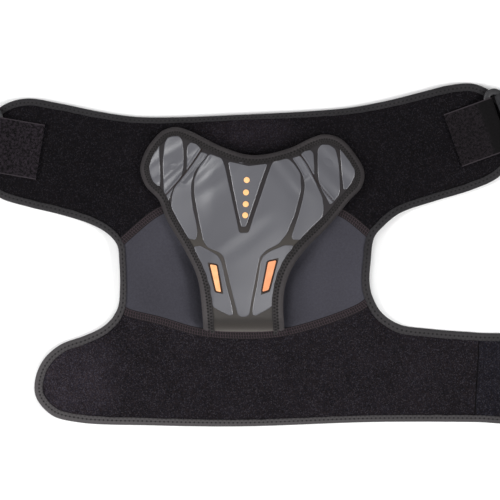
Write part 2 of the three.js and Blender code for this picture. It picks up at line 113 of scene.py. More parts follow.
def stretch(near, far, left, right, steps):
    # Coons patch: two ruled surfaces between facing edges, less the corner term that both hold
    near, far = even(near, steps[0]), even(far, steps[0])
    left, right = even(left, steps[1]), even(right, steps[1])
    u = np.linspace(0, 1, len(near))[:, None, None]
    v = np.linspace(0, 1, len(left))[None, :, None]
    ruled = (1 - v) * near[:, None] + v * far[:, None] + (1 - u) * left[None] + u * right[None]
    corners = (1 - u) * ((1 - v) * near[0] + v * far[0]) + u * ((1 - v) * near[-1] + v * far[-1])
    return ruled - corners


def gridQuads(rows, cols, wrapRows=False, wrapCols=False):
    i = np.arange(rows if wrapRows else rows - 1)[:, None]
    j = np.arange(cols if wrapCols else cols - 1)[None, :]
    k, m = (i + 1) % rows, (j + 1) % cols
    return np.stack([i * cols + j, k * cols + j, k * cols + m, i * cols + m], -1).reshape(-1, 4)


def link(name, data):
    made = bpy.data.objects.new(name, data)
    bpy.context.collection.objects.link(made)
    return made


def addMesh(name, points, quads, material, uv=None, period=0, caps=(), sharp=45):
    # whole arrays go into the mesh, turned so that the enclosed volume is positive
    points = np.asarray(points, float).reshape(-1, 3)
    a, b, c, d = [points[quads[:, k]] for k in range(4)]
    if (a * (np.cross(b, c) + np.cross(c, d))).sum() < 0:
        quads = quads[:, ::-1]
        caps = [cap[::-1] for cap in caps]
    loops = np.concatenate([quads.ravel(), *caps]).astype(np.int32)
    sizes = np.concatenate([np.full(len(quads), 4), np.array([len(cap) for cap in caps], int)])
    mesh = bpy.data.meshes.new(name)
    mesh.vertices.add(len(points))
    mesh.loops.add(len(loops))
    mesh.polygons.add(len(sizes))
    mesh.vertices.foreach_set("co", (points * mm).ravel())
    mesh.loops.foreach_set("vertex_index", loops)
    mesh.polygons.foreach_set("loop_start", (np.cumsum(sizes) - sizes).astype(np.int32))
    mesh.update(calc_edges=True)
    if uv is not None:
        across = np.asarray(uv, float).reshape(-1, 2)[loops]
        if period:  # the strip that closes a loop runs on past the last row
            last = np.repeat(np.maximum.reduceat(across[:, 0], np.cumsum(sizes) - sizes), sizes)
            across[:, 0] += period * (last - across[:, 0] > period / 2)
        mesh.uv_layers.new(name="along").data.foreach_set("uv", across.ravel())
    mesh.shade_smooth()
    mesh.set_sharp_from_angle(angle=np.radians(sharp))
    mesh.materials.append(material)
    piece = link(name, mesh)
    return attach(piece, "root")


def addSlab(name, top, under, material, uv=None):
    # closed sheet: the top grid, a reversed under grid, and the strips that join their four edges
    rows, cols = top.shape[:2]
    points = np.concatenate([top, under[:, ::-1]], 1)
    quads = [gridQuads(rows, 2 * cols, wrapCols=True)]
    j = np.arange(cols - 1)
    for first in (0, (rows - 1) * 2 * cols):
        cap = np.stack([first + j, first + j + 1, first + 2 * cols - 2 - j, first + 2 * cols - 1 - j], 1)
        quads.append(cap if first == 0 else cap[:, ::-1])
    if uv is not None:
        uv = np.concatenate([uv, uv[:, ::-1]], 1)
    return addMesh(name, points, np.concatenate(quads), material, uv)


def addTubes(name, paths, radius, material, taper=1.0):
    # many short threads at once: a square ring round each point of each path, closed at both ends
    count, steps = paths.shape[:2]
    along = unit(np.gradient(paths, axis=1))
    across = unit(np.cross(along, np.array([0, 0, 1.0])))
    over = np.cross(across, along)
    angle = np.arange(4)[:, None] * np.pi / 2 + np.pi / 4
    around = across[:, :, None] * np.cos(angle) + over[:, :, None] * np.sin(angle)
    points = paths[:, :, None] + around * (radius * taper * np.ones(steps))[:, None, None]
    first = np.arange(count)[:, None, None] * steps * 4
    tips = np.array([[3, 2, 1, 0], np.arange(steps * 4 - 4, steps * 4)])
    quads = first + np.concatenate([gridQuads(steps, 4, wrapCols=True), tips])
    return addMesh(name, points, quads.reshape(-1, 4), material, sharp=80)


def finishPiece(piece, slot, *nodes):
    if nodes:
        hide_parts(*nodes)
    return piece


# Materials

def tone(code):  # display colour code to linear light
    part = np.array([int(code[k:k + 2], 16) for k in (1, 3, 5)]) / 255
    light = np.where(part <= 0.04045, part / 12.92, ((part + 0.055) / 1.055) ** 2.4)
    return (*light, 1.0)


class Coat:  # one material, with short calls that add nodes to it
    def __init__(self, name, rough, specular, sheen=0.0):
        self.material = bpy.data.materials.new(name)
        self.material.use_nodes = True
        self.tree = self.material.node_tree
        self.shader = self.tree.nodes["Principled BSDF"].inputs
        fixed = {"Roughness": rough, "Specular IOR Level": specular, "Sheen Weight": sheen,
                 "Sheen Roughness": 0.45}
        for key, value in fixed.items():
            self.shader[key].default_value = value
        coords = self.put("TexCoord").node.outputs
        self.place, self.uv = coords["Object"], coords["UV"]

    def put(self, kind, *values, **settings):  # new node; inputs in order, as values, colour codes or links
        made = self.tree.nodes.new("ShaderNode" + kind)
        for key, value in settings.items():
            setattr(made, key, value)
        for socket, value in zip(made.inputs, values):
            if isinstance(value, bpy.types.NodeSocket):
                self.tree.links.new(value, socket)
            elif value is not None:
                socket.default_value = tone(value) if isinstance(value, str) else value
        return made.outputs[0]

    def math(self, operation, *values):
        return self.put("Math", *values, operation=operation)

    def total(self, *terms):  # sum of values times weights
        made = 0.0
        for value, weight in terms:
            made = self.math("MULTIPLY_ADD", value, weight, made)
        return made

    def wave(self, *terms):  # sine over values, each with its wavelength
        return self.math("SINE", self.total(*[(value, 2 * np.pi / length) for value, length in terms]))

    def pair(self, vector):  # first two parts of a vector
        return self.put("SeparateXYZ", vector).node.outputs[:2]

    def span(self, value, low, high, fromShare, toShare):  # one share up to low, the other from high on
        return self.put("MapRange", value, low, high, fromShare, toShare)

    def blend(self, fac, first, second, kind="MIX"):
        return self.put("MixRGB", fac, first, second, blend_type=kind)

    def noise(self, scale, detail=2.0, rough=0.5):
        return self.put("TexNoise", self.place, None, scale, detail, rough)

    def shades(self, fac, *stops):  # colour ramp of places and colour codes
        made = self.put("ValToRGB", fac).node
        while len(made.color_ramp.elements) < len(stops):
            made.color_ramp.elements.new(0.5)
        for element, (place, code) in zip(made.color_ramp.elements, stops):
            element.position = place
            element.color = tone(code)
        return made.outputs[0]

    def done(self, color, height, depth, strength):  # colour and relief joined to the shader
        bump = self.put("Bump").node
        bump.inputs["Strength"].default_value = strength
        bump.inputs["Distance"].default_value = depth * mm
        self.tree.links.new(height, bump.inputs["Height"])
        self.tree.links.new(bump.outputs[0], self.shader["Normal"])
        self.tree.links.new(color, self.shader["Base Color"])
        return self.material


def softSpot(coat, x, y, wide, tall):  # 1 at a spot's middle, fading to 0 at the rim of its ellipse
    moved = coat.put("VectorMath", coat.place, (x * mm, y * mm, 0), operation="SUBTRACT")
    scaled = coat.put("VectorMath", moved, (1 / (wide * mm), 1 / (tall * mm), 0), operation="MULTIPLY")
    reach = coat.put("VectorMath", scaled, operation="LENGTH").node.outputs["Value"]
    return coat.put("MapRange", reach, 1.0, 0.2, 0.0, 1.0, interpolation_type="SMOOTHSTEP")


def pileFinish(name, dark, light, speck, paintedLightSpot=None, lift=None):
    # loop pile: each small cell is one tuft, with soft blotches, a few bright loops,
    # and a painted light spot, a paler patch where light falls on the cloth
    coat = Coat(name, 0.95, 0.1, sheen=0.012)
    cells = coat.put("TexVoronoi", coat.place, None, 1450.0, feature="F1").node.outputs
    tuft, hue = coat.put("SeparateColor", cells["Color"]).node.outputs[:2]
    fine, blotch = coat.noise(2200, 2, 0.6), coat.noise(38, 3, 0.6)
    fac = coat.total((tuft, 0.4), (fine, 0.28), (blotch, 0.32))
    color = coat.shades(fac, (0.3, dark), (0.72, light))
    # painted light: a paler copy of the pile's shades, blended in over the spot
    if paintedLightSpot:
        paintedLightColor = coat.shades(fac, (0.3, lift[0]), (0.72, lift[1]))
        color = coat.blend(softSpot(coat, *paintedLightSpot), color, paintedLightColor)
    color = coat.blend(1.0, color, coat.shades(hue, (0.2, "#ffeee6"), (0.8, "#e6ecff")), "MULTIPLY")
    bright = coat.math("MULTIPLY", coat.math("GREATER_THAN", tuft, 0.86), 0.16)
    color = coat.blend(bright, color, speck)
    return coat.done(color, coat.math("SUBTRACT", fine, cells["Distance"]), 0.5, 0.8)


def knitFinish():  # plain knit: close columns of stitches under a soft grey cast
    coat = Coat("plainKnit", 0.85, 0.25, sheen=0.03)
    x, y = coat.pair(coat.place)
    stitch = coat.math("MULTIPLY", coat.wave((x, 1.1 * mm)), coat.wave((y, 0.8 * mm)))
    grain, cast = coat.noise(600), coat.noise(14)
    fac = coat.total((stitch, 0.06), (grain, 0.45), (cast, 0.55))
    color = coat.shades(fac, (0.3, "#2f2e35"), (0.7, "#3e3d45"))
    return coat.done(color, coat.math("ADD", stitch, grain), 0.12, 0.6)


def tapeFinish(name, low, high, hole, rows, pitch, dot, paintedPressShade, edge, paintedLightShare):
    # woven tape on its own map: u counts stitches, v is the depth in from the fold; needle holes sit on each
    # row, painted shade darkens it where the last row presses it down and along its inner edge, and painted
    # light pales it towards the front and left
    coat = Coat(name, 0.8, 0.25, sheen=0.02)
    u, v = coat.pair(coat.uv)
    x, y = coat.pair(coat.place)
    twill = coat.wave((u, 0.7 / pitch), (v, 0.75))
    grain, patch = coat.noise(420, 3, 0.6), coat.noise(30)
    fac = coat.total((twill, 0.05), (grain, 0.5), (patch, 0.5))
    color = coat.shades(fac, (0.3, low), (0.7, high))
    # painted light: paler towards the front and left, mixed towards a light grey by the painted light share
    color = coat.blend(coat.span(coat.total((y, 1.0), (x, 0.22)), 0.03, -0.17, 0.0, paintedLightShare), color, "#6d696a")
    # painted shade: darker beyond the last row where the tape is pressed down, and in a thin line along its
    # inner edge
    for start, length, share in ((paintedPressShade[0], 0.7, paintedPressShade[1]), (edge, 0.4, 0.4)):
        color = coat.blend(coat.span(v, start, start + length, 0.0, share), color, hole)
    drift = coat.math("MULTIPLY_ADD", coat.noise(140, 1), 0.5, -0.25)
    pits = 0.0
    for depth, shift, share in rows:
        step = coat.math("SUBTRACT", coat.math("FRACT", coat.math("ADD", u, 0.5 + shift)), 0.5)
        gone = coat.math("MULTIPLY_ADD", step, pitch, drift)
        off = coat.math("ADD", coat.math("SUBTRACT", v, depth), drift)
        reach = coat.math("SQRT", coat.total((gone, gone), (off, off)))
        pits = coat.math("MAXIMUM", coat.span(reach, 0.5 * dot, dot, share, 0.0), pits)
    color = coat.blend(pits, color, hole)
    return coat.done(color, coat.math("SUBTRACT", coat.total((twill, 0.12), (grain, 0.3)), pits), 0.35, 0.7)


def rubberFinish():  # coated foam, browner towards the foot, with a painted highlight that makes the foot lightest at its lower edge
    coat = Coat("coatedFoam", 0.62, 0.32)
    down = coat.span(coat.pair(coat.place)[1], -0.075, 0.115, 0.0, 1.0)
    # painted highlight: the low end of the ramp, at the foot, is made lighter towards the foot's lower edge
    base = coat.shades(
        down, (0.032, "#615c59"), (0.046, "#524e4b"), (0.06, "#46423f"), (0.085, "#393634"), (0.2, "#403c3a"),
        (0.34, "#443f3d"), (0.46, "#37332f"), (0.56, "#1e191d"), (1.0, "#151115"))
    grain = coat.noise(900)
    return coat.done(coat.blend(coat.math("MULTIPLY", grain, 0.3), base, "#2b2825"), grain, 0.1, 0.5)


def hookFinish(name, light, tuftsFrom):
    # hook tape: matted tufts from one u on, plain tape before it, and a selvedge at the end of v
    coat = Coat(name, 0.9, 0.15, sheen=0.03)
    u, v = coat.pair(coat.uv)
    tufts = coat.noise(430, 3, 0.65)
    color = coat.shades(tufts, (0.42, "#070507"), (0.6, light))
    color = coat.blend(coat.span(u, tuftsFrom - 2.0, tuftsFrom + 2.0, 0.9, 0.0), color, "#060506")
    color = coat.blend(coat.span(v, 23.9, 24.3, 0.0, 0.8), color, "#363135")
    return coat.done(color, tufts, 0.6, 0.8)


def plasticFinish():  # moulded plastic, a little unevenly polished
    coat = Coat("mouldedPlastic", 0.42, 0.5)
    grain = coat.noise(700)
    coat.tree.links.new(coat.span(coat.noise(90), 0.3, 0.7, 0.36, 0.5), coat.shader["Roughness"])
    return coat.done(coat.shades(grain, (0.3, "#1b1b1d"), (0.7, "#252528")), grain, 0.06, 0.5)


def elasticFinish():  # woven elastic: rib columns on v, picks on u
    coat = Coat("wovenElastic", 0.8, 0.3, sheen=0.1)
    u, v = coat.pair(coat.uv)
    weave = coat.math("MULTIPLY", coat.wave((u, 0.9)), coat.wave((v, 1.6)))
    fac = coat.total((weave, 0.2), (coat.noise(300), 1.0))
    return coat.done(coat.shades(fac, (0.3, "#17171a"), (0.8, "#2c2c2f")), weave, 0.25, 0.8)


def grainFinish(name, low, high, look):
    # plain stuff: one noise for its colour, and the same or a finer one for its grain
    coat = Coat(name, look["rough"], look["specular"], look.get("sheen", 0.0))
    patch = coat.noise(look["scale"], look.get("detail", 2.0))
    grain = coat.noise(look["grain"]) if "grain" in look else patch
    return coat.done(coat.shades(patch, (0.3, low), (0.7, high)), grain, look["depth"], look["strength"])


tab = {"width": 50, "thick": 1.1, "low": 7.25, "high": 8.65, "bendFrom": 22, "bendTo": 37, "hooks": 1500,
       "tall": 0.75, "strand": 0.11, "hooksWide": 22.8, "rough": 0.09, "roughWide": 22.5,
       "edgeWide": 2.2, "edgeThin": 0.45, "hooksFrom": {"left": 44, "right": 60}}
thread = {"scale": 1800, "depth": 0.1, "strength": 0.6, "rough": 0.75, "specular": 0.25, "sheen": 0.02}
orange = {"scale": 160, "grain": 1500, "depth": 0.05, "strength": 0.4, "rough": 0.5, "specular": 0.4}
film = {"scale": 22, "detail": 1, "depth": 0.12, "strength": 0.35, "rough": 0.27, "specular": 0.65}
finish = {
    # painted light spots: the yoke's middle top and the band's left end are made paler
    "pile": pileFinish("loopPile", "#070608", "#151316", "#47444a", (-8, 112, 62, 22),
                       ("#120f12", "#282429")),
    "pileBand": pileFinish("loopPileBand", "#0f0d0f", "#252226", "#5a575e", (-178, -112, 75, 60),
                           ("#1a171a", "#38343a")),
    "pileTip": pileFinish("loopPileTip", "#0e0d11", "#232228", "#555359"),
    "knit": knitFinish(),
    # the last three values: the painted shade beyond the last row, where the painted shade line at the inner
    # edge starts, and the painted light share
    "tape": tapeFinish("bindingTape", "#1b1a1c", "#2b292c", "#0a090a", [(4.5, 0.0, 0.9), (7.1, 0.5, 0.35)],
                       3.9, 1.15, (3.4, 0.1), 7.5, 0.36),
    "flapTape": tapeFinish("flapTape", "#252224", "#373334", "#0b0a0a", [(4.3, 0.0, 1.0), (6.3, 0.5, 1.0)],
                           2.8, 1.0, (3.4, 0.42), 7.3, 0.42),
    "rubber": rubberFinish(),
    "film": grainFinish("satinFilm", "#535358", "#5b5b60", film),
    "dot": grainFinish("orangeDot", "#f7b878", "#ffc68a", orange),
    "barLeft": grainFinish("orangeBarLeft", "#efa871", "#fbb985", orange),
    "barRight": grainFinish("orangeBarRight", "#df8e60", "#ea9d70", orange),
    "outline": grainFinish("barOutline", "#22150f", "#301e17", thread),
    "frame": grainFinish("barFrame", "#34302e", "#403b38", thread),
    # painted light: the left tab's hook tape and strands are lighter copies of the right tab's
    "hookLeft": hookFinish("hookTapeLeft", "#262026", tab["hooksFrom"]["left"]),
    "hookRight": hookFinish("hookTapeRight", "#1f1a1e", tab["hooksFrom"]["right"]),
    "strandLeft": grainFinish("hookStrandLeft", "#1a171a", "#322d31", thread),
    "strandRight": grainFinish("hookStrandRight", "#161316", "#2a2529", thread),
    "plastic": plasticFinish(),
    "elastic": elasticFinish(),
    "seamThread": grainFinish("seamThread", "#31252b", "#45363d", thread),
    "seamBed": grainFinish("seamBed", "#0d0b0c", "#161214", thread),
    "tapeThread": grainFinish("tapeThread", "#252423", "#383635", thread),
    "flapThread": grainFinish("flapThread", "#201e1d", "#34312e", thread),
}
print("finishes made:", len(finish))


# Heights of the body cloth

cup = {"x": -11, "y": 22, "radiusX": 170, "radiusY": 135, "height": 12, "floorGap": 1.2, "thick": 3.5,
       "lift": 1.7, "liftFrom": -40, "liftTo": 10}


def bodyUnder(x, y):  # floor gap, the step up onto the strap, and a low dome over the shoulder
    far = ((x - cup["x"]) / cup["radiusX"]) ** 2 + ((y - cup["y"]) / cup["radiusY"]) ** 2
    step = cup["lift"] * ease(y, cup["liftFrom"], cup["liftTo"])
    return cup["floorGap"] + step + cup["height"] * np.maximum(0, 1 - far) ** 2


def bodyTop(x, y):
    return bodyUnder(x, y) + cup["thick"]


# Outline of the body, clockwise from the left end of the yoke's top edge

rimKnots = {
    "yokeTopLeft": [(-231.5, 133), (-220.5, 138.5), (-206, 141), (-177.5, 136.5), (-141.5, 129)],
    "yokeTopMid": [(-110, 124.5), (-74, 124), (-11, 126.5), (47.5, 129.5)],
    "yokeTopRight": [(85.5, 133), (119.5, 139.5), (151, 147.5), (173.5, 153), (196, 154)],
    "yokeEndRight": [(216, 144), (229.5, 130.5), (237, 108), (230.5, 84.5)],
    "armRight": [(216, 69), (191.5, 58), (160, 48.5), (128.5, 37.5), (113.5, 25.5)],
    "waistRight": [(105.5, 15.5), (102.5, -4.5), (101.5, -26)],
    "bandTopRight": [(104.5, -38.5), (112.5, -52), (128.5, -62.5), (155.5, -66.5)],
    "tipTop": [(200, -70)],
    "tipEnd": [(232, -72), (249.5, -81), (258.5, -100), (258.5, -122.5), (249.5, -141.5)],
    "tipBottom": [(232, -151)],
    "bandBottom": [(195.5, -150.5), (105, -150.5), (-15.5, -154.5), (-96.5, -153.5)],
    "bandEnd": [(-159.5, -151), (-184.5, -144.5), (-199, -128.5), (-200, -112.5), (-192.5, -94.5)],
    "bandTopLeft": [(-177.5, -81), (-155, -72.5), (-139.5, -65), (-129.5, -55.5)],
    "waistLeft": [(-125, -46), (-123.5, -29.5), (-124, -6.5)],
    "armLeft": [(-126, 9), (-135, 19.5), (-150.5, 28), (-177.5, 36.5), (-204.5, 43)],
    "yokeEndLeft": [(-231.5, 51.5), (-245.5, 63), (-252.5, 90), (-246.5, 119)],
}
spanSteps = 24


def outline(stretches, closed=False):  # the spline through all stretches, and where each of them begins
    starts = np.cumsum([0] + [len(knots) * spanSteps for knots in stretches.values()])
    return spline(np.concatenate(list(stretches.values())), spanSteps, closed), starts


rim, rimStarts = outline(rimKnots, closed=True)
clothInset = 1.2
clothEdge = rim + rightOf(rim, closed=True) * clothInset


def side(*names):  # points of the cloth's edge along one or more stretches; a minus sign runs it backwards
    runs = []
    for name in names:
        place = list(rimKnots).index(name.strip("-"))
        run = np.vstack([clothEdge, clothEdge[:1]])[rimStarts[place]:rimStarts[place + 1] + 1]
        runs.append(run[::-1] if name.startswith("-") else run)
    return np.vstack(runs)


upperSeam = spline([side("armLeft")[0], (-86.5, 40), (-48.5, 50.5), (-11, 54), (29.5, 50.5), (75.5, 38),
                    side("waistRight")[0]], 30)
lowerSeam = spline([side("waistLeft")[0], (-118, -51), (-87.5, -59), (-51.5, -69.2), (-13.5, -72.2),
                    (20.5, -70.2), (56.5, -61), (92.5, -47), side("bandTopRight")[0]], 30)
tipSeam = np.stack([side("bandBottom")[0], side("tipTop")[0]])


# Outline of the flap, up its left side, over the top and down its right side

flapKnots = {
    "lowLeft": [(-48, -71), (-49.5, -47.5)],
    "sideLeft": [(-53.5, -20.5), (-65, 4.5), (-81, 31.5), (-88.5, 49.5), (-100, 62), (-105, 76.5),
                 (-101.5, 91)],
    "top": [(-93.5, 103.5), (-84.5, 112), (-73, 115), (-60.5, 111.5), (-33.5, 98), (-11, 90.5), (4.5, 90),
            (29.5, 96), (49.5, 105.5), (61, 108.5), (74.5, 105)],
    "sideRight": [(88, 91), (96.5, 74.5), (94, 61), (83.5, 49.5), (65, 27), (43, 4.5), (31.5, -11.5)],
    "lowRight": [(25, -29.5), (23.5, -46), (25, -71)],
}
flapRim, flapStarts = outline(flapKnots)
flapEven = even(flapRim, 900)


def insideFlap(x, y):  # even and odd crossings of the flap's outline, as seen from the right
    loop = np.vstack([flapEven[::6], flapEven[:1]])
    (ax, ay), (bx, by) = loop[:-1].T, loop[1:].T
    px, py = np.ravel(x)[:, None], np.ravel(y)[:, None]
    crosses = (ay > py) != (by > py)
    at = ax + (py - ay) * (bx - ax) / np.where(ay == by, 1e-9, by - ay)
    return ((crosses & (px < at)).sum(1) % 2 == 1).reshape(np.shape(x))


# Body panels: a stretched grid, swelled between its sewn edges, with tufts as relief

panelSet = {"swell": 0.55, "swellWide": 5.0, "tuft": 0.16, "knitTuft": 0.012, "underGap": 0.15,
            "underSwell": 0.1, "seamGap": 0.25, "dip": 4.8, "dipWide": 11.5, "dipUnder": 0.45}


def addPanel(name, coat, tuft, steps, near, far, left, right):
    grid = stretch(near, far, left, right, steps)
    x, y = grid[..., 0], grid[..., 1]
    edges = np.vstack([even(line, 700) for line in (near, far, left, right)])
    swell = panelSet["swell"] * (1 - np.exp(-farFrom(x, y, edges) / panelSet["swellWide"]))
    tufts = dice.normal(size=x.shape)
    tufts = 0.6 * tufts + 0.2 * np.roll(tufts, 1, 0) + 0.2 * np.roll(tufts, 1, 1)
    top = bodyTop(x, y) - panelSet["swell"] + swell + tuft * tufts
    under = bodyUnder(x, y) + panelSet["underGap"] - panelSet["underSwell"] * swell
    if name == "midCloth":  # drawn down beside the lower sides of the flap
        outside = np.where(insideFlap(x, y), 0, farFrom(x, y, flapEven))
        drop = panelSet["dip"] * np.maximum(0, 1 - outside / panelSet["dipWide"]) ** 1.6
        drop = drop * ease(y, -70, -56) * (1 - ease(y, -12, 22))
        top, under = top - drop, under - drop * panelSet["dipUnder"]
    return addSlab(name, lay(x, y, top), lay(x, y, under), finish[coat], grid)


seamGap = np.array([0, panelSet["seamGap"]])
panelEdges = {  # slot, node, finish, tuft and steps, then the near, far, left and right edge
    "yokeCloth": ("pile", "yoke", "pile", panelSet["tuft"], (400, 84),
                  np.vstack([side("-armLeft"), upperSeam + seamGap, side("-armRight")]),
                  side("yokeTopLeft", "yokeTopMid", "yokeTopRight"), side("yokeEndLeft"),
                  side("-yokeEndRight")),
    "midCloth": ("knit", "mid_panel", "knit", panelSet["knitTuft"], (150, 80), lowerSeam + seamGap,
                 upperSeam - seamGap, side("waistLeft"), side("-waistRight")),
    "bandCloth": ("pile", "arm_band", "pileBand", panelSet["tuft"], (360, 72), side("-bandBottom"),
                  np.vstack([side("bandTopLeft"), lowerSeam - seamGap, side("bandTopRight")]),
                  side("bandEnd"), tipSeam),
    "tipCloth": ("pile", "band_tip", "pileTip", panelSet["tuft"], (50, 72), side("-tipBottom"),
                 side("tipTop"), tipSeam + seamGap[::-1] * 4, side("-tipEnd")),
}
for name, (slotName, node, *build) in panelEdges.items():
    finishPiece(addPanel(name, *build), slotName, node)


# Folded tape: a U section carried along an edge

def wobble(run, total, amount, waves):  # uneven hand of the sewing, as a sum of whole waves round the run
    k = np.arange(*waves)[:, None]
    phase = dice.uniform(0, 2 * np.pi, k.shape)
    return amount * np.cos(2 * np.pi * k * run / total + phase).mean(0) * np.sqrt(len(k))


def tapeSection(tape):
    # outer line from the inner edge below, round the fold, to the inner edge above, then back inside
    width, fold, thick = tape["width"], tape["fold"], tape["thick"]
    bend = np.linspace(-np.pi / 2, np.pi / 2, 9)
    flat = width - fold
    depth = np.concatenate([[width, width - 0.35 * flat, width - 0.7 * flat], fold * (1 - np.cos(bend)),
                            width - flat * np.array([0.85, 0.7, 0.5, 0.36, 0.24, 0.1, 0.0])])
    share = np.concatenate([[0, 0, 0], (1 + np.sin(bend)) / 2, np.ones(7)])
    lift = np.concatenate([[-thick] * 3, thick * np.sin(bend), [thick] * 6, [thick * 0.8]])
    inside = np.array([[width, 1, 0.1], [width * 0.5, 1, 0.1], [0.8, 1, -0.2], [0.8, 0, 0.2],
                       [width * 0.5, 0, -0.1], [width, 0, -0.1]])
    return np.vstack([np.stack([depth, share, lift], 1), inside])


tapeSet = {"uneven": 0.16, "dipWide": 0.8}
stitchSet = {"arch": 0.32, "sunk": 0.55, "thin": 0.45}


def addTape(name, edge, inward, section, heights, material, stitches, dips, extra, widen, closed=False):
    # each section point is moved in by its depth and set between the cloth's faces by its share
    count = len(edge)
    deep, share, rise = section.T
    u = np.arange(count) * stitches / (count if closed else count - 1)
    onTop = (share > 0.99) & (rise > 0.3)
    wander = wobble(u, stitches, tapeSet["uneven"], (stitches // 12, stitches // 3))
    depth = deep + wander[:, None] * (deep > deep.max() * 0.9)
    x, y = beside(edge, inward, depth * widen(edge)[:, None])
    under, top = heights(x, y)
    z = under + share * (top - under) + rise
    for row, shift, sink in dips:  # drawn in at each needle hole
        pulse = 0.45 + 0.55 * np.cos(2 * np.pi * (u[:, None] + shift))
        z = z - onTop * sink * np.exp(-((depth - row) / tapeSet["dipWide"]) ** 2) * pulse
    z = z + onTop * extra(u)[:, None]
    quads = gridQuads(count, len(section), wrapRows=closed, wrapCols=True)
    lap = np.arange(len(section))
    caps = [] if closed else [lap[::-1], (count - 1) * len(section) + lap]
    uv = np.stack(np.broadcast_arrays(u[:, None], deep), -1)
    return addMesh(name, lay(x, y, z), quads, material, uv, stitches if closed else 0, caps, sharp=60)


def addStitches(name, edge, inward, row, heights, lift, count, gapShare, radius, material):
    # lock stitches: each thread leaves one needle hole, arches over the tape and dives into the next
    run = lengthAlong(edge)
    steps = np.linspace(0, 1, 5)
    at = (np.arange(count)[:, None] + gapShare / 2 + steps * (1 - gapShare)) / count * run[-1]
    x, y = walk(edge + inward * row[:, None], run, at)
    arch = np.sin(np.pi * steps)
    z = heights(x, y)[1] + lift + (arch - stitchSet["sunk"]) * stitchSet["arch"]
    taper = stitchSet["thin"] + (1 - stitchSet["thin"]) * arch
    return finishPiece(addTubes(name, lay(x, y, z), radius, material, taper), "tape")


bodyTape = {"width": 7.9, "fold": 3.6, "thick": 1.1, "pitch": 3.9, "row": 4.5, "sink": 0.3, "lift": 0.98,
            "joint": (-201, -121.5), "jointWide": 9.5, "jointLift": 0.75, "jointEdge": 0.25}


def bodyFaces(x, y):
    return bodyUnder(x, y), bodyTop(x, y)


rimLength = lengthAlong(np.vstack([rim, rim[:1]]))[-1]
rimStitches = int(round(rimLength / bodyTape["pitch"]))
tapeEdge = even(rim, 3 * rimStitches, closed=True)
tapeIn = rightOf(tapeEdge, closed=True)
jointAt = np.argmin(np.linalg.norm(tapeEdge - bodyTape["joint"], axis=1)) / 3
# share of the tape's width that lies on the upper face, at the middle of each stretch of the outline
tapeShare = {
    "yokeTopLeft": 0.8, "yokeTopMid": 0.6, "yokeTopRight": 0.88, "yokeEndRight": 0.9, "armRight": 0.84,
    "waistRight": 0.87, "bandTopRight": 0.95, "tipTop": 0.9, "tipEnd": 0.9, "tipBottom": 0.8,
    "bandBottom": 0.76, "bandEnd": 0.97, "bandTopLeft": 0.9, "waistLeft": 0.7, "armLeft": 0.84,
    "yokeEndLeft": 0.85}


def bodyWiden(edge):  # even blend of those shares round the loop
    middles = rim[(rimStarts[:-1] + rimStarts[1:]) // 2]
    apart = [np.linalg.norm(tapeEdge - spots[:, None], axis=2) for spots in (middles, edge)]
    at, near = [np.argmin(far, axis=1) for far in apart]
    return np.interp(near, at, list(tapeShare.values()), period=len(tapeEdge))


def jointStep(u):  # the tape's own end, lapped over its start
    half = bodyTape["jointWide"] / bodyTape["pitch"] / 2
    up, down = [ease(u, place, place + bodyTape["jointEdge"]) for place in (jointAt - half, jointAt + half)]
    return bodyTape["jointLift"] * (up - down)


bodyBinding = addTape(
    "bodyBinding", tapeEdge, tapeIn, tapeSection(bodyTape), bodyFaces, finish["tape"], rimStitches,
    [(bodyTape["row"], 0, bodyTape["sink"])], jointStep, bodyWiden, closed=True)
finishPiece(bodyBinding, "tape", "binding_yoke", "binding_underarm_right", "binding_band",
            "binding_underarm_left")
tapeLoop, loopIn = [np.vstack([rows, rows[:1]]) for rows in (tapeEdge, tapeIn)]
bodyStitches = addStitches(
    "bodyStitches", tapeLoop, loopIn, bodyTape["row"] * bodyWiden(tapeLoop), bodyFaces, bodyTape["lift"],
    rimStitches, 0.5, 0.24, finish["tapeThread"])
print("body tape made:", rimStitches, "stitches")


# Flap: outline and heights

flap = {"axisX": -8, "thick": 5, "lowThick": 3.5, "footThick": 0.8, "slack": 5.5, "lowSlack": 5.0,
        "seat": 0.3, "seatRise": 1.2, "earFrom": 30, "earTo": 80, "pinch": 1.4, "pinchWide": 9.5,
        "ridgeAt": 2.4, "ridgeWide": 1.1, "inset": 1.2}
# ear folds: each line is sewn down, with soft ridges beside it
earFolds = [
    {"line": [(-49.3, 95.6), (-53.8, 88.4), (-59.8, 79.8), (-67.4, 69.8), (-83, 52.6)],
     "deep": 0.55, "wide": 0.7, "ridge": 0.4},
    {"line": [(-45, 94), (-49.5, 85.5), (-58, 76), (-66, 67)], "deep": 0.5, "wide": 1.6, "ridge": 0.3},
    {"line": [(38.7, 90), (44.3, 82.4), (50.4, 71.4), (55.4, 63.9), (69.4, 47.6)],
     "deep": 0.5, "wide": 0.7, "ridge": 0.3},
    {"line": [(33.5, 88), (38.5, 80), (42.5, 72.5)], "deep": 0.5, "wide": 1.6, "ridge": 0.3},
]
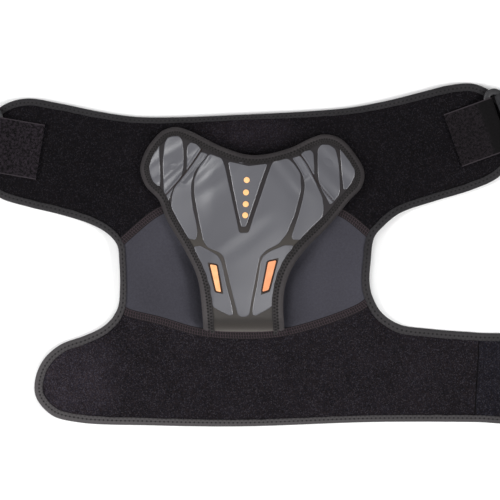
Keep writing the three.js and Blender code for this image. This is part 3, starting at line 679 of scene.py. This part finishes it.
# soft ripples: each runs along a line, as a wave that dies out to both sides
ripples = [
    {"line": [(-100, 68.5), (-83.4, 80.1), (-67.3, 91.4), (-52, 102)],
     "high": 1.6, "wave": 42.0, "reach": 17.0, "shift": 0.27},
    {"line": [(-90, 58), (-76, 71), (-62, 84)], "high": 0.15, "wave": 8.0, "reach": 6.0, "shift": 0.0},
    {"line": [(-54, 68), (-42, 78), (-30, 86)], "high": 0.55, "wave": 24.0, "reach": 15.0, "shift": 0.8},
    {"line": [(-30, 8), (-14, 16), (2, 32)], "high": 0.25, "wave": 26.0, "reach": 14.0, "shift": 0.1},
    {"line": [(52, 92), (66, 78), (80, 66)], "high": 0.6, "wave": 22.0, "reach": 16.0, "shift": 0.6},
    {"line": [(22, 82), (32, 74), (38, 62)], "high": 0.5, "wave": 18.0, "reach": 12.0, "shift": 0.0},
]
for crease in ripples + earFolds:
    crease["run"] = even(spline(crease["line"], 30), 160)


def flapUnder(x, y):  # seat on the body, plus the slack that lifts the middle of the flap off it
    seat = flap["seat"] + flap["seatRise"] * ease(y, -69, -61)
    ears = ease(np.abs(x - flap["axisX"]), flap["earFrom"], flap["earTo"])
    slack = flap["slack"] + flap["lowSlack"] * (1 - ease(y, -60, 12))
    return bodyTop(x, y) + seat + slack * ease(y, -69.5, -54) * (1 - ears)


def flapTop(x, y):  # thickness from a thin sewn foot, pinched in at the rim and along the ear folds
    thick = flap["footThick"] + (flap["lowThick"] - flap["footThick"]) * ease(y, -69.5, -57)
    thick = thick + (flap["thick"] - flap["lowThick"]) * ease(y, -68, -28)
    rimNear = 1 - ease(farFrom(x, y, flapEven), 0, flap["pinchWide"])
    thick = thick - flap["pinch"] * ease(y, -72, -55) * rimNear
    for fold in earFolds:
        away = farFrom(x, y, fold["run"]) / fold["wide"]
        ridge = np.exp(-((away - flap["ridgeAt"]) / flap["ridgeWide"]) ** 2)
        thick = thick - fold["deep"] * np.exp(-away**2) + fold["ridge"] * ridge
    for ripple in ripples:
        away = aside(x, y, ripple["run"])
        wave = np.cos(2 * np.pi * (away / ripple["wave"] + ripple["shift"]))
        thick = thick + ripple["high"] * wave * np.exp(-(farFrom(x, y, ripple["run"]) / ripple["reach"]) ** 2)
    return flapUnder(x, y) + thick


def flapFaces(x, y):
    return flapUnder(x, y), flapTop(x, y)


flapEdge = flapRim + rightOf(flapRim) * flap["inset"]
topFrom, topTo = flapStarts[2:4]
flapSteps = (156, 150)
flapLeft, flapRight = flapEdge[:topFrom + 1], flapEdge[topTo:][::-1]
flapFoot = np.stack([flapLeft[0], flapRight[0]])
flapGrid = stretch(flapFoot, flapEdge[topFrom:topTo + 1], flapLeft, flapRight, flapSteps)
flapX, flapY = flapGrid[..., 0], flapGrid[..., 1]
flapLow, flapHigh = [lay(flapX, flapY, height) for height in flapFaces(flapX, flapY)]
flapPad = finishPiece(addSlab("flapPad", flapHigh, flapLow, finish["rubber"]), "rubber", "pad")

flapTape = {"width": 8.0, "fold": 2.6, "thick": 1.0, "pitch": 2.8, "rows": (4.3, 6.3), "sink": 0.26,
            "lift": 0.84, "spreadLeft": 0.22, "spreadRight": 0.26}
gather = {"spots": [(-56, 104), (38, 97)], "high": 0.5, "reach": 7, "wave": 3.4, "uneven": 0.12}
flapLength = lengthAlong(flapRim)[-1]
flapStitchCount = int(round(flapLength / flapTape["pitch"]))
flapTapeEdge = even(flapRim, 4 * flapStitchCount + 1)
flapTapeIn = rightOf(flapTapeEdge)


def flapGathers(u):  # small pleats across the tape where the ear folds run under it
    run = u * flapTape["pitch"]
    lift = 0 * run
    for spot in gather["spots"]:
        off = run - np.argmin(np.linalg.norm(flapTapeEdge - spot, axis=1)) / 4 * flapTape["pitch"]
        wave = np.cos(off * 2 * np.pi / gather["wave"])
        lift = lift + gather["high"] * np.exp(-(off / gather["reach"]) ** 2) * wave
    return lift + wobble(u, flapStitchCount, gather["uneven"], (20, 80))


def flapWiden(edge):  # the tape spreads on the lower sides, where it runs straighter
    x, y = edge[:, 0], edge[:, 1]
    left = flapTape["spreadLeft"] * (1 - ease(y, -44, -8))
    return 1 + np.where(x < flap["axisX"], left, flapTape["spreadRight"] * (1 - ease(y, -15, 40)))


flapDips = [(row, shift, flapTape["sink"]) for row, shift in zip(flapTape["rows"], (0, 0.5))]
flapBinding = addTape(
    "flapBinding", flapTapeEdge, flapTapeIn, tapeSection(flapTape), flapFaces, finish["flapTape"],
    flapStitchCount, flapDips, flapGathers, flapWiden)
finishPiece(flapBinding, "tape", "pad_binding")
flapStitches = [
    addStitches(f"flapStitches{k + 1}", flapTapeEdge, flapTapeIn, row * flapWiden(flapTapeEdge), flapFaces,
                flapTape["lift"], flapStitchCount, 0.55, 0.2, finish["flapThread"])
    for k, row in enumerate(flapTape["rows"])]
print("flap and its tape made:", flapStitchCount, "stitches a row")


# Film plates: rows run from one end to the other, and give a point on each side

plateSet = {"round": 2.4, "lift": 0.05, "thick": 0.5, "bevel": 0.5, "samples": 130, "inner": 12, "sink": 0.3,
            "cornerSteps": 7}


def rounded(chain, radius):
    # each inner corner becomes a quadratic curve that starts and ends up to one radius from it
    back, here, on = chain[:-2], chain[1:-1], chain[2:]
    backLong = np.linalg.norm((back - here)[:, :2], axis=1)[:, None]
    onLong = np.linalg.norm((on - here)[:, :2], axis=1)[:, None]
    cut = np.minimum(radius, 0.46 * np.minimum(backLong, onLong))
    near = here + (back - here) * cut / np.maximum(backLong, 1e-6)
    far = here + (on - here) * cut / np.maximum(onLong, 1e-6)
    t = np.linspace(0, 1, plateSet["cornerSteps"])[None, :, None]
    curve = (1 - t) ** 2 * near[:, None] + 2 * t * (1 - t) * here[:, None] + t**2 * far[:, None]
    return np.vstack([chain[:1], curve.reshape(-1, chain.shape[1]), chain[-1:]])


def plateRing(rows, radius, samples, lastMid):
    # both sides rounded alike, closed through the middles of the ends, with the spine that each point faces
    rows = np.array(rows, float)
    left, right = rows[:, :2], rows[:, 2:]
    spine = (left + right) / 2
    first, last = spine[0].copy(), spine[-1].copy() if lastMid is None else np.array(lastMid)
    spine[0], spine[-1] = 0.35 * spine[0] + 0.65 * spine[1], 0.35 * spine[-1] + 0.65 * spine[-2]
    chains = []
    for edge in (left, right):
        line = np.vstack([np.r_[first, spine[0]], np.hstack([edge, spine]), np.r_[last, spine[-1]]])
        chains.append(rounded(line, radius))
    run = (lengthAlong(chains[0]) + lengthAlong(chains[1])) / 2
    there, back = [np.stack(walk(chain, run, np.linspace(0, run[-1], samples)), 1) for chain in chains]
    return np.vstack([there, back[-2:0:-1]])


def addPlate(name, rows, heights, material, thick, bevel, radius=plateSet["round"],
             samples=plateSet["samples"], inner=plateSet["inner"], sink=plateSet["sink"], grow=0,
             lastMid=None):
    # rings from the rim inwards to the spine, rounded over at the rim, and sewn shut across the spine
    loop = plateRing(rows, radius, samples, lastMid)
    count = len(loop)
    plan, spine = loop[:, :2], loop[:, 2:]
    inward = rightOf(plan, closed=True)
    inward = inward * np.sign(((spine - plan) * inward).sum())
    plan = plan - inward * grow
    offsets = bevel * np.array([0, 0, 0.1, 0.75, 1.0, 1.2])
    rises = np.r_[-sink, thick - bevel * np.array([0.55, 0.42, 0.09, 0.01, 0])]
    rimRings = plan + inward * offsets[:, None, None]
    toSpine = np.linspace(0, 0.93, inner)[1:, None, None]
    innerRings = rimRings[-1] * (1 - toSpine) + spine * toSpine
    flat = np.concatenate([rimRings, innerRings])
    x, y = flat[..., 0], flat[..., 1]
    rise = np.concatenate([rises, np.full(len(innerRings), thick)])[:, None]
    k = np.arange(1, samples - 2)
    shut = np.stack([k, k + 1, count - k - 1, count - k], 1)
    last = (len(flat) - 1) * count
    tips = np.array([[0, 1, count - 1], [samples - 2, samples - 1, samples]])
    quads = np.concatenate([gridQuads(len(flat), count, wrapCols=True), shut[:, ::-1], last + shut])
    caps = [*tips[:, ::-1], *(last + tips)]
    return addMesh(name, lay(x, y, heights(x, y) + rise), quads, material, caps=caps, sharp=60)


def plateSeat(x, y):
    return flapTop(x, y) + plateSet["lift"]


plates = {  # leftX leftY rightX rightY
    "film_vee": [(-14.2, 25.4, -10, 25.4), (-18.5, 45, -3.4, 45), (-22.5, 65, 3.3, 65), (-25.9, 84, 9.5, 82)],
    "film_flank_left": [(-61.5, 14.6, -55, 13.6), (-66, 22.5, -53.3, 19), (-71, 31, -54.5, 29),
        (-77.2, 43, -57.3, 41), (-76.2, 54, -59, 54), (-73.1, 62.4, -59, 63.5), (-66.5, 70.6, -56, 75),
        (-58.5, 80.9, -51.4, 81), (-50.4, 92.6, -44, 90.6)],
    "film_flank_right": [(32, 13.8, 38.5, 13.5), (31, 17, 42, 17.6), (34.5, 27.5, 51, 26.7),
        (37, 35, 59, 34.4), (39.5, 44, 59.9, 42), (41.5, 52, 58.6, 52), (42.8, 60.5, 55, 59.5),
        (42.6, 67, 51.5, 67.6), (40.6, 72.5, 49, 73.6), (36, 80.5, 45, 80.8), (31.5, 87, 39, 89)],
    "film_lower_left": [(-24.5, -54.2, -21.5, -53.5), (-33.3, -50, -22.3, -47), (-39.6, -46.3, -23.5, -41.5),
        (-42, -38, -25.3, -35), (-44.1, -27, -27.5, -27), (-47, -16, -30, -14.5), (-50, -7.5, -32.3, -5),
        (-53, -1.8, -35.5, 0), (-55.5, 3.5, -41, 3), (-56.8, 7.5, -51, 8.4)],
    "film_lower_right": [(-4, -53.5, -1, -54.4), (-4, -48, 8.1, -49.5), (-3, -42, 13.5, -46),
        (-1.5, -34, 15.8, -38), (0, -27, 17.1, -29.7), (1.6, -17, 19.2, -19), (3.2, -6.5, 22.5, -8.5),
        (5.2, -1, 27, 0), (12, 3.6, 30.2, 4), (25, 8.9, 33, 8.6)],
    "film_ear_left_outer": [(-91, 61.8, -87.2, 62), (-95, 68, -86.7, 68), (-97.2, 77, -87.1, 77),
        (-96.2, 85.5, -87.5, 86), (-92, 94, -87.6, 93.5), (-89, 98.5, -87.8, 98.5)],
    "film_ear_left_mid": [(-83, 49, -80, 46.6), (-83.6, 54, -78.2, 52.2), (-83.8, 60, -75.1, 60.6),
        (-84.2, 69.3, -68.1, 69.8), (-84.6, 81, -65.9, 80), (-84, 92, -66.1, 93), (-83, 100.6, -66.7, 102.3),
        (-80, 106.4, -70, 107.1)],
    "film_ear_left_inner": [(-63, 76.1, -62, 77), (-63, 84, -57.8, 83.1), (-63, 92, -52.9, 90.3),
        (-62.6, 98, -49.9, 94.8), (-59.5, 101, -54.5, 99.6)],
    "film_ear_right_inner": [(50.2, 72.6, 51.5, 72.2), (46.1, 79.9, 51.3, 79.5), (42.8, 85.2, 51, 86),
        (39.1, 90.6, 50.6, 91.5), (43, 93.4, 48, 94.3)],
    "film_ear_right_mid": [(65.2, 45.6, 67.5, 46.3), (61.9, 52, 73.5, 53.5), (57.8, 59, 74.4, 58.5),
        (55.2, 66.6, 74.4, 65.5), (54.5, 76, 73.9, 76), (54.4, 87, 72.6, 87), (54.6, 95.5, 70.3, 95.5),
        (58, 99.3, 65, 98.9)],
    "film_ear_right_outer": [(78, 58.8, 80.8, 59.4), (77.2, 63.5, 84.5, 64), (76.4, 71, 88, 71.5),
        (75.8, 79, 87.6, 79), (75.2, 86, 84.5, 86.3), (74.7, 93, 79.5, 92), (74.4, 95.8, 76, 94.9)],
    "film_center": [(-31.5, 86.8, -42.5, 90.8), (-29, 80, -51.3, 80.1), (-26.5, 69, -56.5, 68),
        (-23, 53, -56.2, 53), (-19.5, 37, -52, 30), (-17, 25, -48.2, 12.6), (-16, 21, -44, 6.5),
        (-15, 20.2, -34.2, 2.7), (-14.3, 20, -29.8, -1.5), (-13.6, 20, -25.2, -20.7), (-13, 20, -19.5, -45),
        (-12.4, 20, -17, -54.2), (-11.8, 20, -12.5, -55.8), (-11.2, 20, -7, -54.2), (-10.6, 20, -5.2, -42),
        (-10, 20, -0.5, -16), (-9.4, 20, 2.5, -2), (-8.5, 20.2, 8, 4), (-7.4, 21, 19.5, 10),
        (-6, 25, 27, 19.5), (-2.5, 36, 34, 36.5), (4, 55, 39.6, 58), (9, 70, 39, 73), (12.5, 80, 33, 82),
        (15, 84.3, 27.5, 86.8)],
}
plateExtras = {"film_center": {"samples": 300, "inner": 26}, "film_vee": {"lastMid": (-7.5, 79.8)}}
for name, rows in plates.items():
    piece = addPlate(name.replace("film_", "plate_"), rows, plateSeat, finish["film"], plateSet["thick"],
                     plateSet["bevel"], **plateExtras.get(name, {}))
    finishPiece(piece, "film", name)
print("film plates made:", len(plates))

bars = {
    "bar_left": {"bar": [(-36.6, -32.2, -32.3, -33.2), (-42.2, -8.3, -36.2, -9.3)],
                 "frame": [(-38, -33.4, -30, -35), (-44.5, -6.4, -35, -8.2)]},
    "bar_right": {"bar": [(4.7, -32.9, 10.3, -31.3), (10, -6.2, 17.3, -4.7)],
                  "frame": [(3.3, -35.8, 11.6, -33), (8.6, -5.3, 19.7, -2.4)]},
}
barSet = {"radius": 1.3, "bevel": 0.12, "sink": -0.3, "samples": 60, "inner": 6}
barRows = 5
barLayers = {  # shape that it follows, its top, how far it is grown, and its slot
    "frame": ("frame", 0.58, 0, "rubber"),
    "outline": ("bar", 0.72, 1.35, "rubber"),
    "bar": ("bar", 0.9, 0, "orange"),
}
for name, shapes in bars.items():
    for kind, (shape, top, grow, slotName) in barLayers.items():
        coat = finish.get(kind) or finish["bar" + name[4:].title()]
        rows = np.linspace(*shapes[shape], barRows)
        piece = addPlate(f"{name}_{kind}", rows, plateSeat, coat, top, grow=grow, **barSet)
        finishPiece(piece, slotName, *([name] if kind == "bar" else []))

dots = [(-9.2, 67.2), (-9.9, 56.1), (-10.1, 45.6), (-10.6, 35.6)]
dotSet = {"radius": 2.65, "top": 1.0, "edge": 0.25, "sides": 40}


def addDot(name, x, y):
    # low button: a profile of radius and height turned round the dot's middle
    share = np.array([1, 1, 0.98, 0.93, 0.85, 0.6, 0.3, 0.05])
    rise = dotSet["top"] - np.array([0.8, dotSet["edge"], 0.1, 0.03, 0, 0, 0, 0])
    angle = np.linspace(0, 2 * np.pi, dotSet["sides"], endpoint=False)
    out = dotSet["radius"] * share[:, None]
    px, py = x + out * np.cos(angle), y + out * np.sin(angle)
    lap = np.arange(dotSet["sides"])
    caps = [lap[::-1], (len(share) - 1) * dotSet["sides"] + lap]
    quads = gridQuads(len(share), dotSet["sides"], wrapCols=True)
    points = lay(px, py, plateSeat(px, py) + rise[:, None])
    return addMesh(name, points, quads, finish["dot"], caps=caps, sharp=60)


for k, (x, y) in enumerate(dots):
    finishPiece(addDot(f"dotButton{k + 1}", x, y), "orange", f"dot_{k + 1}")
print("bars and dots made")


# Sewn seams across the body

seamSet = {"rows": (-2.6, 0.0, 2.6), "pitch": 2.3, "radius": 0.28, "base": 3.6, "crown": 0.25, "lift": 0.12,
           "sunk": 0.15, "thick": 0.5, "arch": 0.25, "rowLift": 0.12, "slantLift": 0.2}
footBand = {"from": -50, "to": 27, "lift": 1.15, "tapeLift": 0.95, "tapeWide": 8.5}


def seamTop(x, y):  # the body's face, stepping up where the seam crosses the flap's foot and its tape
    start, end, wide = footBand["from"], footBand["to"], footBand["tapeWide"]
    over = ease(x, start - 2, start + 1) - ease(x, end - 1, end + 2)
    inner = ease(x, start + wide - 1, start + wide + 1) - ease(x, end - wide - 1, end - wide + 1)
    step = footBand["lift"] * over + footBand["tapeLift"] * (over - inner)
    return bodyTop(x, y) + seamSet["lift"] + (y < -20) * step


def addSeam(name, line):
    # a low bed along the line, with rows of stitches on it and a slanting thread at each stitch
    total = lengthAlong(line)[-1]
    count = int(total / seamSet["pitch"])
    path = even(line, 6 * count + 1)
    right, run = rightOf(path), lengthAlong(path)
    base = np.linspace(-seamSet["base"], seamSet["base"], 7)
    x, y = beside(path, right, base)
    crown = seamSet["crown"] * (1 - (base / seamSet["base"]) ** 4)
    z = seamTop(x, y) + crown - seamSet["sunk"]
    bed = addSlab(name + "Bed", lay(x, y, z), lay(x, y, z - seamSet["thick"] - crown), finish["seamBed"])
    finishPiece(bed, "tape")
    straight, slant = [(np.arange(count)[:, None] + np.linspace(*ends, 5)) * total / count
                       for ends in ((0.12, 0.78), (0, 0.3))]
    arch = seamSet["rowLift"] + seamSet["arch"] * np.sin(np.linspace(0, np.pi, 5))
    threads = []
    for offset in seamSet["rows"]:
        px, py = walk(path + right * offset, run, straight)
        threads.append(lay(px, py, seamTop(px, py) + arch))
    swing = np.linspace(seamSet["rows"][0], seamSet["rows"][-1], 5)
    px, py = [spot + way * swing for spot, way in zip(walk(path, run, slant), walk(right, run, slant))]
    threads.append(lay(px, py, seamTop(px, py) + seamSet["slantLift"]))
    rows = addTubes(name + "Threads", np.concatenate(threads), seamSet["radius"], finish["seamThread"])
    finishPiece(rows, "tape")


addSeam("upperSeam", upperSeam)
addSeam("lowerSeam", lowerSeam)
# dark strip down inside the butt joint between the band and its tip
jointSet = {"across": (-1.2, -0.2, 1.2, 2.2), "below": 2.2, "above": 0.6}
jointLine = even(tipSeam, 40)[:, None]
jointX, jointY = jointLine[..., 0] + jointSet["across"], jointLine[..., 1] + np.zeros(len(jointSet["across"]))
tipJoint = addSlab("tipJoint", lay(jointX, jointY, bodyTop(jointX, jointY) - jointSet["below"]),
                   lay(jointX, jointY, bodyUnder(jointX, jointY) + jointSet["above"]), finish["seamBed"])
finishPiece(tipJoint, "tape")

# dashed rows that sew the ears down along their folds
foldSet = {"pitch": 2.4, "lift": 0.78, "radius": 0.3}
for k, (fold, share) in enumerate(((earFolds[0], 0.98), (earFolds[2], 0.62))):
    run = lengthAlong(fold["run"])
    count = int(run[-1] / foldSet["pitch"])
    px, py = walk(fold["run"], run, (np.arange(count)[:, None] + np.linspace(0, share, 4)) / count * run[-1])
    dashes = lay(px, py, flapTop(px, py) + foldSet["lift"])
    finishPiece(addTubes(f"earStitches{k + 1}", dashes, foldSet["radius"], finish["outline"]), "rubber")
print("seams made")


# Hook patches that lie hidden under the ears and under the band's tip

hookSet = {"thick": 0.9, "bevel": 0.3, "radius": 2.0, "samples": 70, "inner": 10, "sink": 0}
earHookGap = 0.25


def earHookSeat(x, y):
    return flapUnder(x, y) - hookSet["thick"] - earHookGap


def floorSeat(x, y):
    return 0 * x


hooks = {
    "ear_hook_left": [(-85, 60, -76, 60), (-93, 76, -74, 76), (-88, 92, -74, 92), (-82, 100, -74, 100)],
    "ear_hook_right": [(68, 60, 80, 60), (62, 74, 85, 74), (62, 86, 79, 86), (62, 95, 70, 95)],
    "band_hook": [(208, -138, 238, -138), (208, -110.5, 247, -110.5), (208, -84, 238, -84)],
}
for name, rows in hooks.items():
    seat = floorSeat if name == "band_hook" else earHookSeat
    finishPiece(addPlate(name + "_patch", rows, seat, finish["hookLeft"], **hookSet), "hook", name)


# Yoke ends: tabs folded through rings, and the strap that joins the rings under the yoke

yokeEnds = {"left": (-195, 92.5, 170.3), "right": (176.5, 103, 19.8)}
ring = {"at": 38, "length": 18, "width": 64, "slotLength": 6, "slotWidth": 53, "bottom": 9.6, "thick": 3.0,
        "corner": 5.5, "soft": 0.55, "slim": 0.97}
strap = {"width": 50, "thick": 1.4, "upper": 8.6, "foldAt": 60, "tailFrom": 62, "tailTo": 64,
         "control": (38, 53), "rib": 0.1, "ribPitch": 3.2, "gap": 0.3, "edgeWide": 1.5, "edgeThin": 0.4}


def turn(s, z, radius, fromDegrees, toDegrees, steps):  # arc in distance and height
    angle = np.radians(np.linspace(fromDegrees, toDegrees, steps))
    return np.stack([s + radius * np.cos(angle), z + radius * np.sin(angle)], 1)


def slope(fromS, fromZ, toS, toZ, steps):  # eased ramp in distance and height
    t = np.linspace(0, 1, steps)
    return np.stack([fromS + (toS - fromS) * t, fromZ + (toZ - fromZ) * ease(t, 0, 1)], 1)


def placed(end, places):  # distance and height, set out from one end of the yoke, with the way across
    x, y, degrees = yokeEnds[end]
    out = np.array([np.cos(np.radians(degrees)), np.sin(np.radians(degrees))])
    across = np.array([-out[1], out[0], 0]) * (-1 if end == "left" else 1)
    spots = np.column_stack([x + places[:, 0] * out[0], y + places[:, 0] * out[1], places[:, 1]])
    return np.hstack([spots, np.tile(across, (len(spots), 1))])


def ribbonFaces(path, band, cols):
    # both faces of a ribbon: across by the given way, and up by half the thickness square to the path;
    # it thins out at its woven edges, and ribs may run along it
    spots, across = path[:, :3], path[:, 3:]
    over = unit(np.cross(across, np.gradient(spots, axis=0)))
    edge = band["width"] / 2
    v = np.linspace(-edge, edge, cols)
    thick = band["thick"] * (1 - band["edgeThin"] * ease(np.abs(v), edge - band["edgeWide"], edge))
    if "rib" in band:
        thick = thick + band["rib"] * (np.cos(v * 2 * np.pi / band["ribPitch"]) - 1)
    middle = spots[:, None] + across[:, None] * v[:, None]
    half = over[:, None] * thick[:, None] / 2
    uv = np.stack(np.broadcast_arrays(lengthAlong(spots, 3)[:, None], np.abs(v)), -1)
    return middle + half, middle - half, uv, over


ringTop = ring["bottom"] + ring["thick"]
barIn = ring["at"] + (ring["length"] - ring["slotLength"]) / 2
barOut = barIn + ring["slotLength"]
tabRadius, tabGap, barGap = 1.25, 0.85, 0.4
tabUnder = ring["bottom"] - tabGap
tabOver = ringTop + tabGap
tabLine = np.vstack([[(2, tab["low"])], slope(tab["bendFrom"], tab["low"], tab["bendTo"], tabUnder, 10),
                     turn(barIn - barGap, tabUnder + tabRadius, tabRadius, -90, 0, 8),
                     turn(barIn - barGap, tabOver - tabRadius, tabRadius, 0, 90, 8),
                     slope(tab["bendTo"], tabOver, tab["bendFrom"], tab["high"], 14), [(0, tab["high"])]])
for end in yokeEnds:
    path = even(placed(end, tabLine), 140, dims=3)
    top, under, uv, over = ribbonFaces(path, tab, 58)
    rough = tab["rough"] * dice.normal(size=top.shape[:2]) * (uv[..., 1] < tab["roughWide"])
    rough = over[:, None] * rough[..., None]
    piece = addSlab(f"tab_{end}_tape", top + rough, under - rough, finish["hook" + end.title()], uv)
    finishPiece(piece, "hook", f"tab_{end}")
    # matted hooks: short arched strands that lean about on the tab's upper face
    upper = np.argwhere((path[:, 2] > tab["high"] - 0.2) & (uv[:, 0, 0] > tab["hooksFrom"][end]))[:, 0]
    row = dice.choice(upper, tab["hooks"])
    spot = dice.uniform(-tab["hooksWide"], tab["hooksWide"], tab["hooks"])
    up = over[row] * np.sign(over[upper[len(upper) // 2], 2])
    foot = path[row, :3] + path[row, 3:] * spot[:, None] + up * (tab["thick"] / 2 - 0.05)
    lean = dice.uniform(0, 2 * np.pi, tab["hooks"])[:, None]
    reach = dice.uniform(0.35, 0.8, tab["hooks"])[:, None] * np.array([0, 0.35, 0.75, 1.0])
    lift = tab["tall"] * np.array([0, 0.75, 1.0, 0.55])
    strands = foot[:, None] + up[:, None] * lift[:, None]
    strands[..., 0] += np.cos(lean) * reach
    strands[..., 1] += np.sin(lean) * reach
    finishPiece(addTubes(f"tab_{end}_hooks", strands, tab["strand"], finish["strand" + end.title()]), "hook")
print("tabs made")


def addRing(end):
    # rounded loop round the slot, with a soft square section turned round it
    x, y, degrees = yokeEnds[end]
    angle = np.linspace(0, 2 * np.pi, 96, endpoint=False) + np.pi / 96
    corner = ring["corner"]
    half = [(ring[key] + ring["slot" + key.title()]) / 4 - corner for key in ("length", "width")]
    loop = np.stack([np.sign(np.cos(angle)) * half[0] + corner * np.cos(angle),
                     np.sign(np.sin(angle)) * half[1] + corner * np.sin(angle)], 1)
    loop = even(loop, 180, closed=True)
    out = -rightOf(loop, closed=True)
    phi = np.linspace(0, 2 * np.pi, 20, endpoint=False)
    wide, tall = [np.sign(wave) * np.abs(wave) ** ring["soft"] for wave in (np.cos(phi), np.sin(phi))]
    wide = wide * (ring["length"] - ring["slotLength"]) / 4 * ring["slim"]
    plan = loop[:, None] + out[:, None] * wide[:, None] + [ring["at"] + ring["length"] / 2, 0]
    cos, sin = np.cos(np.radians(degrees)), np.sin(np.radians(degrees))
    across, up = plan[..., 0], plan[..., 1]
    height = ring["bottom"] + ring["thick"] / 2 * (1 + tall) + 0 * across
    points = lay(x + across * cos - up * sin, y + across * sin + up * cos, height)
    quads = gridQuads(len(loop), len(phi), wrapRows=True, wrapCols=True)
    piece = addMesh(f"ring_{end}_loop", points, quads, finish["plastic"], sharp=70)
    return finishPiece(piece, "plastic", f"ring_{end}")


for end in yokeEnds:
    addRing(end)

strapHalf = strap["thick"] / 2
strapRadius = strap["gap"] + strapHalf + barGap
strapOver = ringTop + strap["gap"] + strapHalf
strapTail = strap["upper"] + strap["thick"] + strap["gap"]
foldRadius = (strap["upper"] - strapHalf) / 2
ringEnd = ring["at"] + ring["length"] + strap["gap"]
strapEnd = np.vstack([[(strap["tailTo"], strapTail)],
                      slope(strap["tailFrom"], strapTail, ringEnd, strapOver, 8),
                      turn(barOut + barGap, strapOver - strapRadius, strapRadius, 90, 180, 7),
                      turn(barOut + barGap, strap["upper"] + strapRadius, strapRadius, 180, 270, 7),
                      turn(strap["foldAt"], strapHalf + foldRadius, foldRadius, 90, -90, 14)])
leftEnd, rightEnd = placed("left", strapEnd), placed("right", strapEnd)
t = np.linspace(0, 1, 72)[1:-1, None]
fromSpot, toSpot = leftEnd[-1, :2], rightEnd[-1, :2]
control = np.array(strap["control"], float)
runLine = (1 - t) ** 2 * fromSpot + 2 * t * (1 - t) * control + t**2 * toSpot
runWay = unit(2 * (1 - t) * (control - fromSpot) + 2 * t * (toSpot - control))
underRun = np.column_stack([runLine, np.full(len(t), strapHalf), -runWay[:, 1], runWay[:, 0], 0 * t])
strapPath = np.vstack([leftEnd, underRun, rightEnd[::-1]])
top, under, uv, _ = ribbonFaces(strapPath, strap, 65)
chestStrap = finishPiece(addSlab("chestStrap", top, under, finish["elastic"], uv), "elastic", "chest_strap")


# Floor, light and camera

floorLook = {"scale": 3, "grain": 90, "depth": 0.05, "strength": 0.1, "rough": 0.9, "specular": 0.2,
             "far": 30.0}
floorMesh = bpy.data.meshes.new("floor")
corners = [(x * floorLook["far"], y * floorLook["far"], 0) for x, y in ((-1, -1), (1, -1), (1, 1), (-1, 1))]
floorMesh.from_pydata(corners, [], [(0, 1, 2, 3)])
floorMesh.materials.append(grainFinish("paleFloor", "#fbfbfb", "#fcfcfc", floorLook))
floor = link("floor", floorMesh)

lights = {  # place and size in metres, and power
    "frontSoftbox": ((-0.5, -1.7, 1.4), 1.1, 13),
    "rightSoftbox": ((1.7, -0.3, 1.55), 0.8, 34),
    "leftSoftbox": ((-1.85, -0.1, 1.35), 0.9, 34),
    "backSoftbox": ((0.2, 1.8, 1.5), 1.1, 5),
    "overFrontSoftbox": ((0.35, -0.5, 2.3), 1.0, 7),
    "overBackSoftbox": ((-0.75, 0.75, 2.1), 0.7, 9),
}
for name, (spot, size, power) in lights.items():
    data = bpy.data.lights.new(name, "AREA")
    data.shape, data.size, data.energy = "DISK", size, power
    lamp = link(name, data)
    lamp.location = spot
    lamp.rotation_euler = (-lamp.location).to_track_quat("-Z", "Y").to_euler()  # turned to the origin
    lamp.visible_camera = False

view = {"middleX": -6.3, "middleY": 4.5, "across": 450, "lens": 360, "sensor": 36, "plane": 8, "clip": 200,
        "worldLight": 0.12}
world = bpy.data.worlds.new("studio")
bpy.context.scene.world = world
world.use_nodes = True
background = world.node_tree.nodes["Background"].inputs
background[0].default_value, background[1].default_value = (1, 1, 1, 1), view["worldLight"]
bpy.context.scene.view_settings.view_transform = "Standard"

camera = bpy.data.cameras.new("overhead")
camera.lens, camera.sensor_width, camera.clip_end = view["lens"], view["sensor"], view["clip"]
cameraObject = link("overhead", camera)
away = view["across"] * view["lens"] / view["sensor"] + view["plane"]
cameraObject.location = (view["middleX"] * mm, view["middleY"] * mm, away * mm)
bpy.context.scene.camera = cameraObject
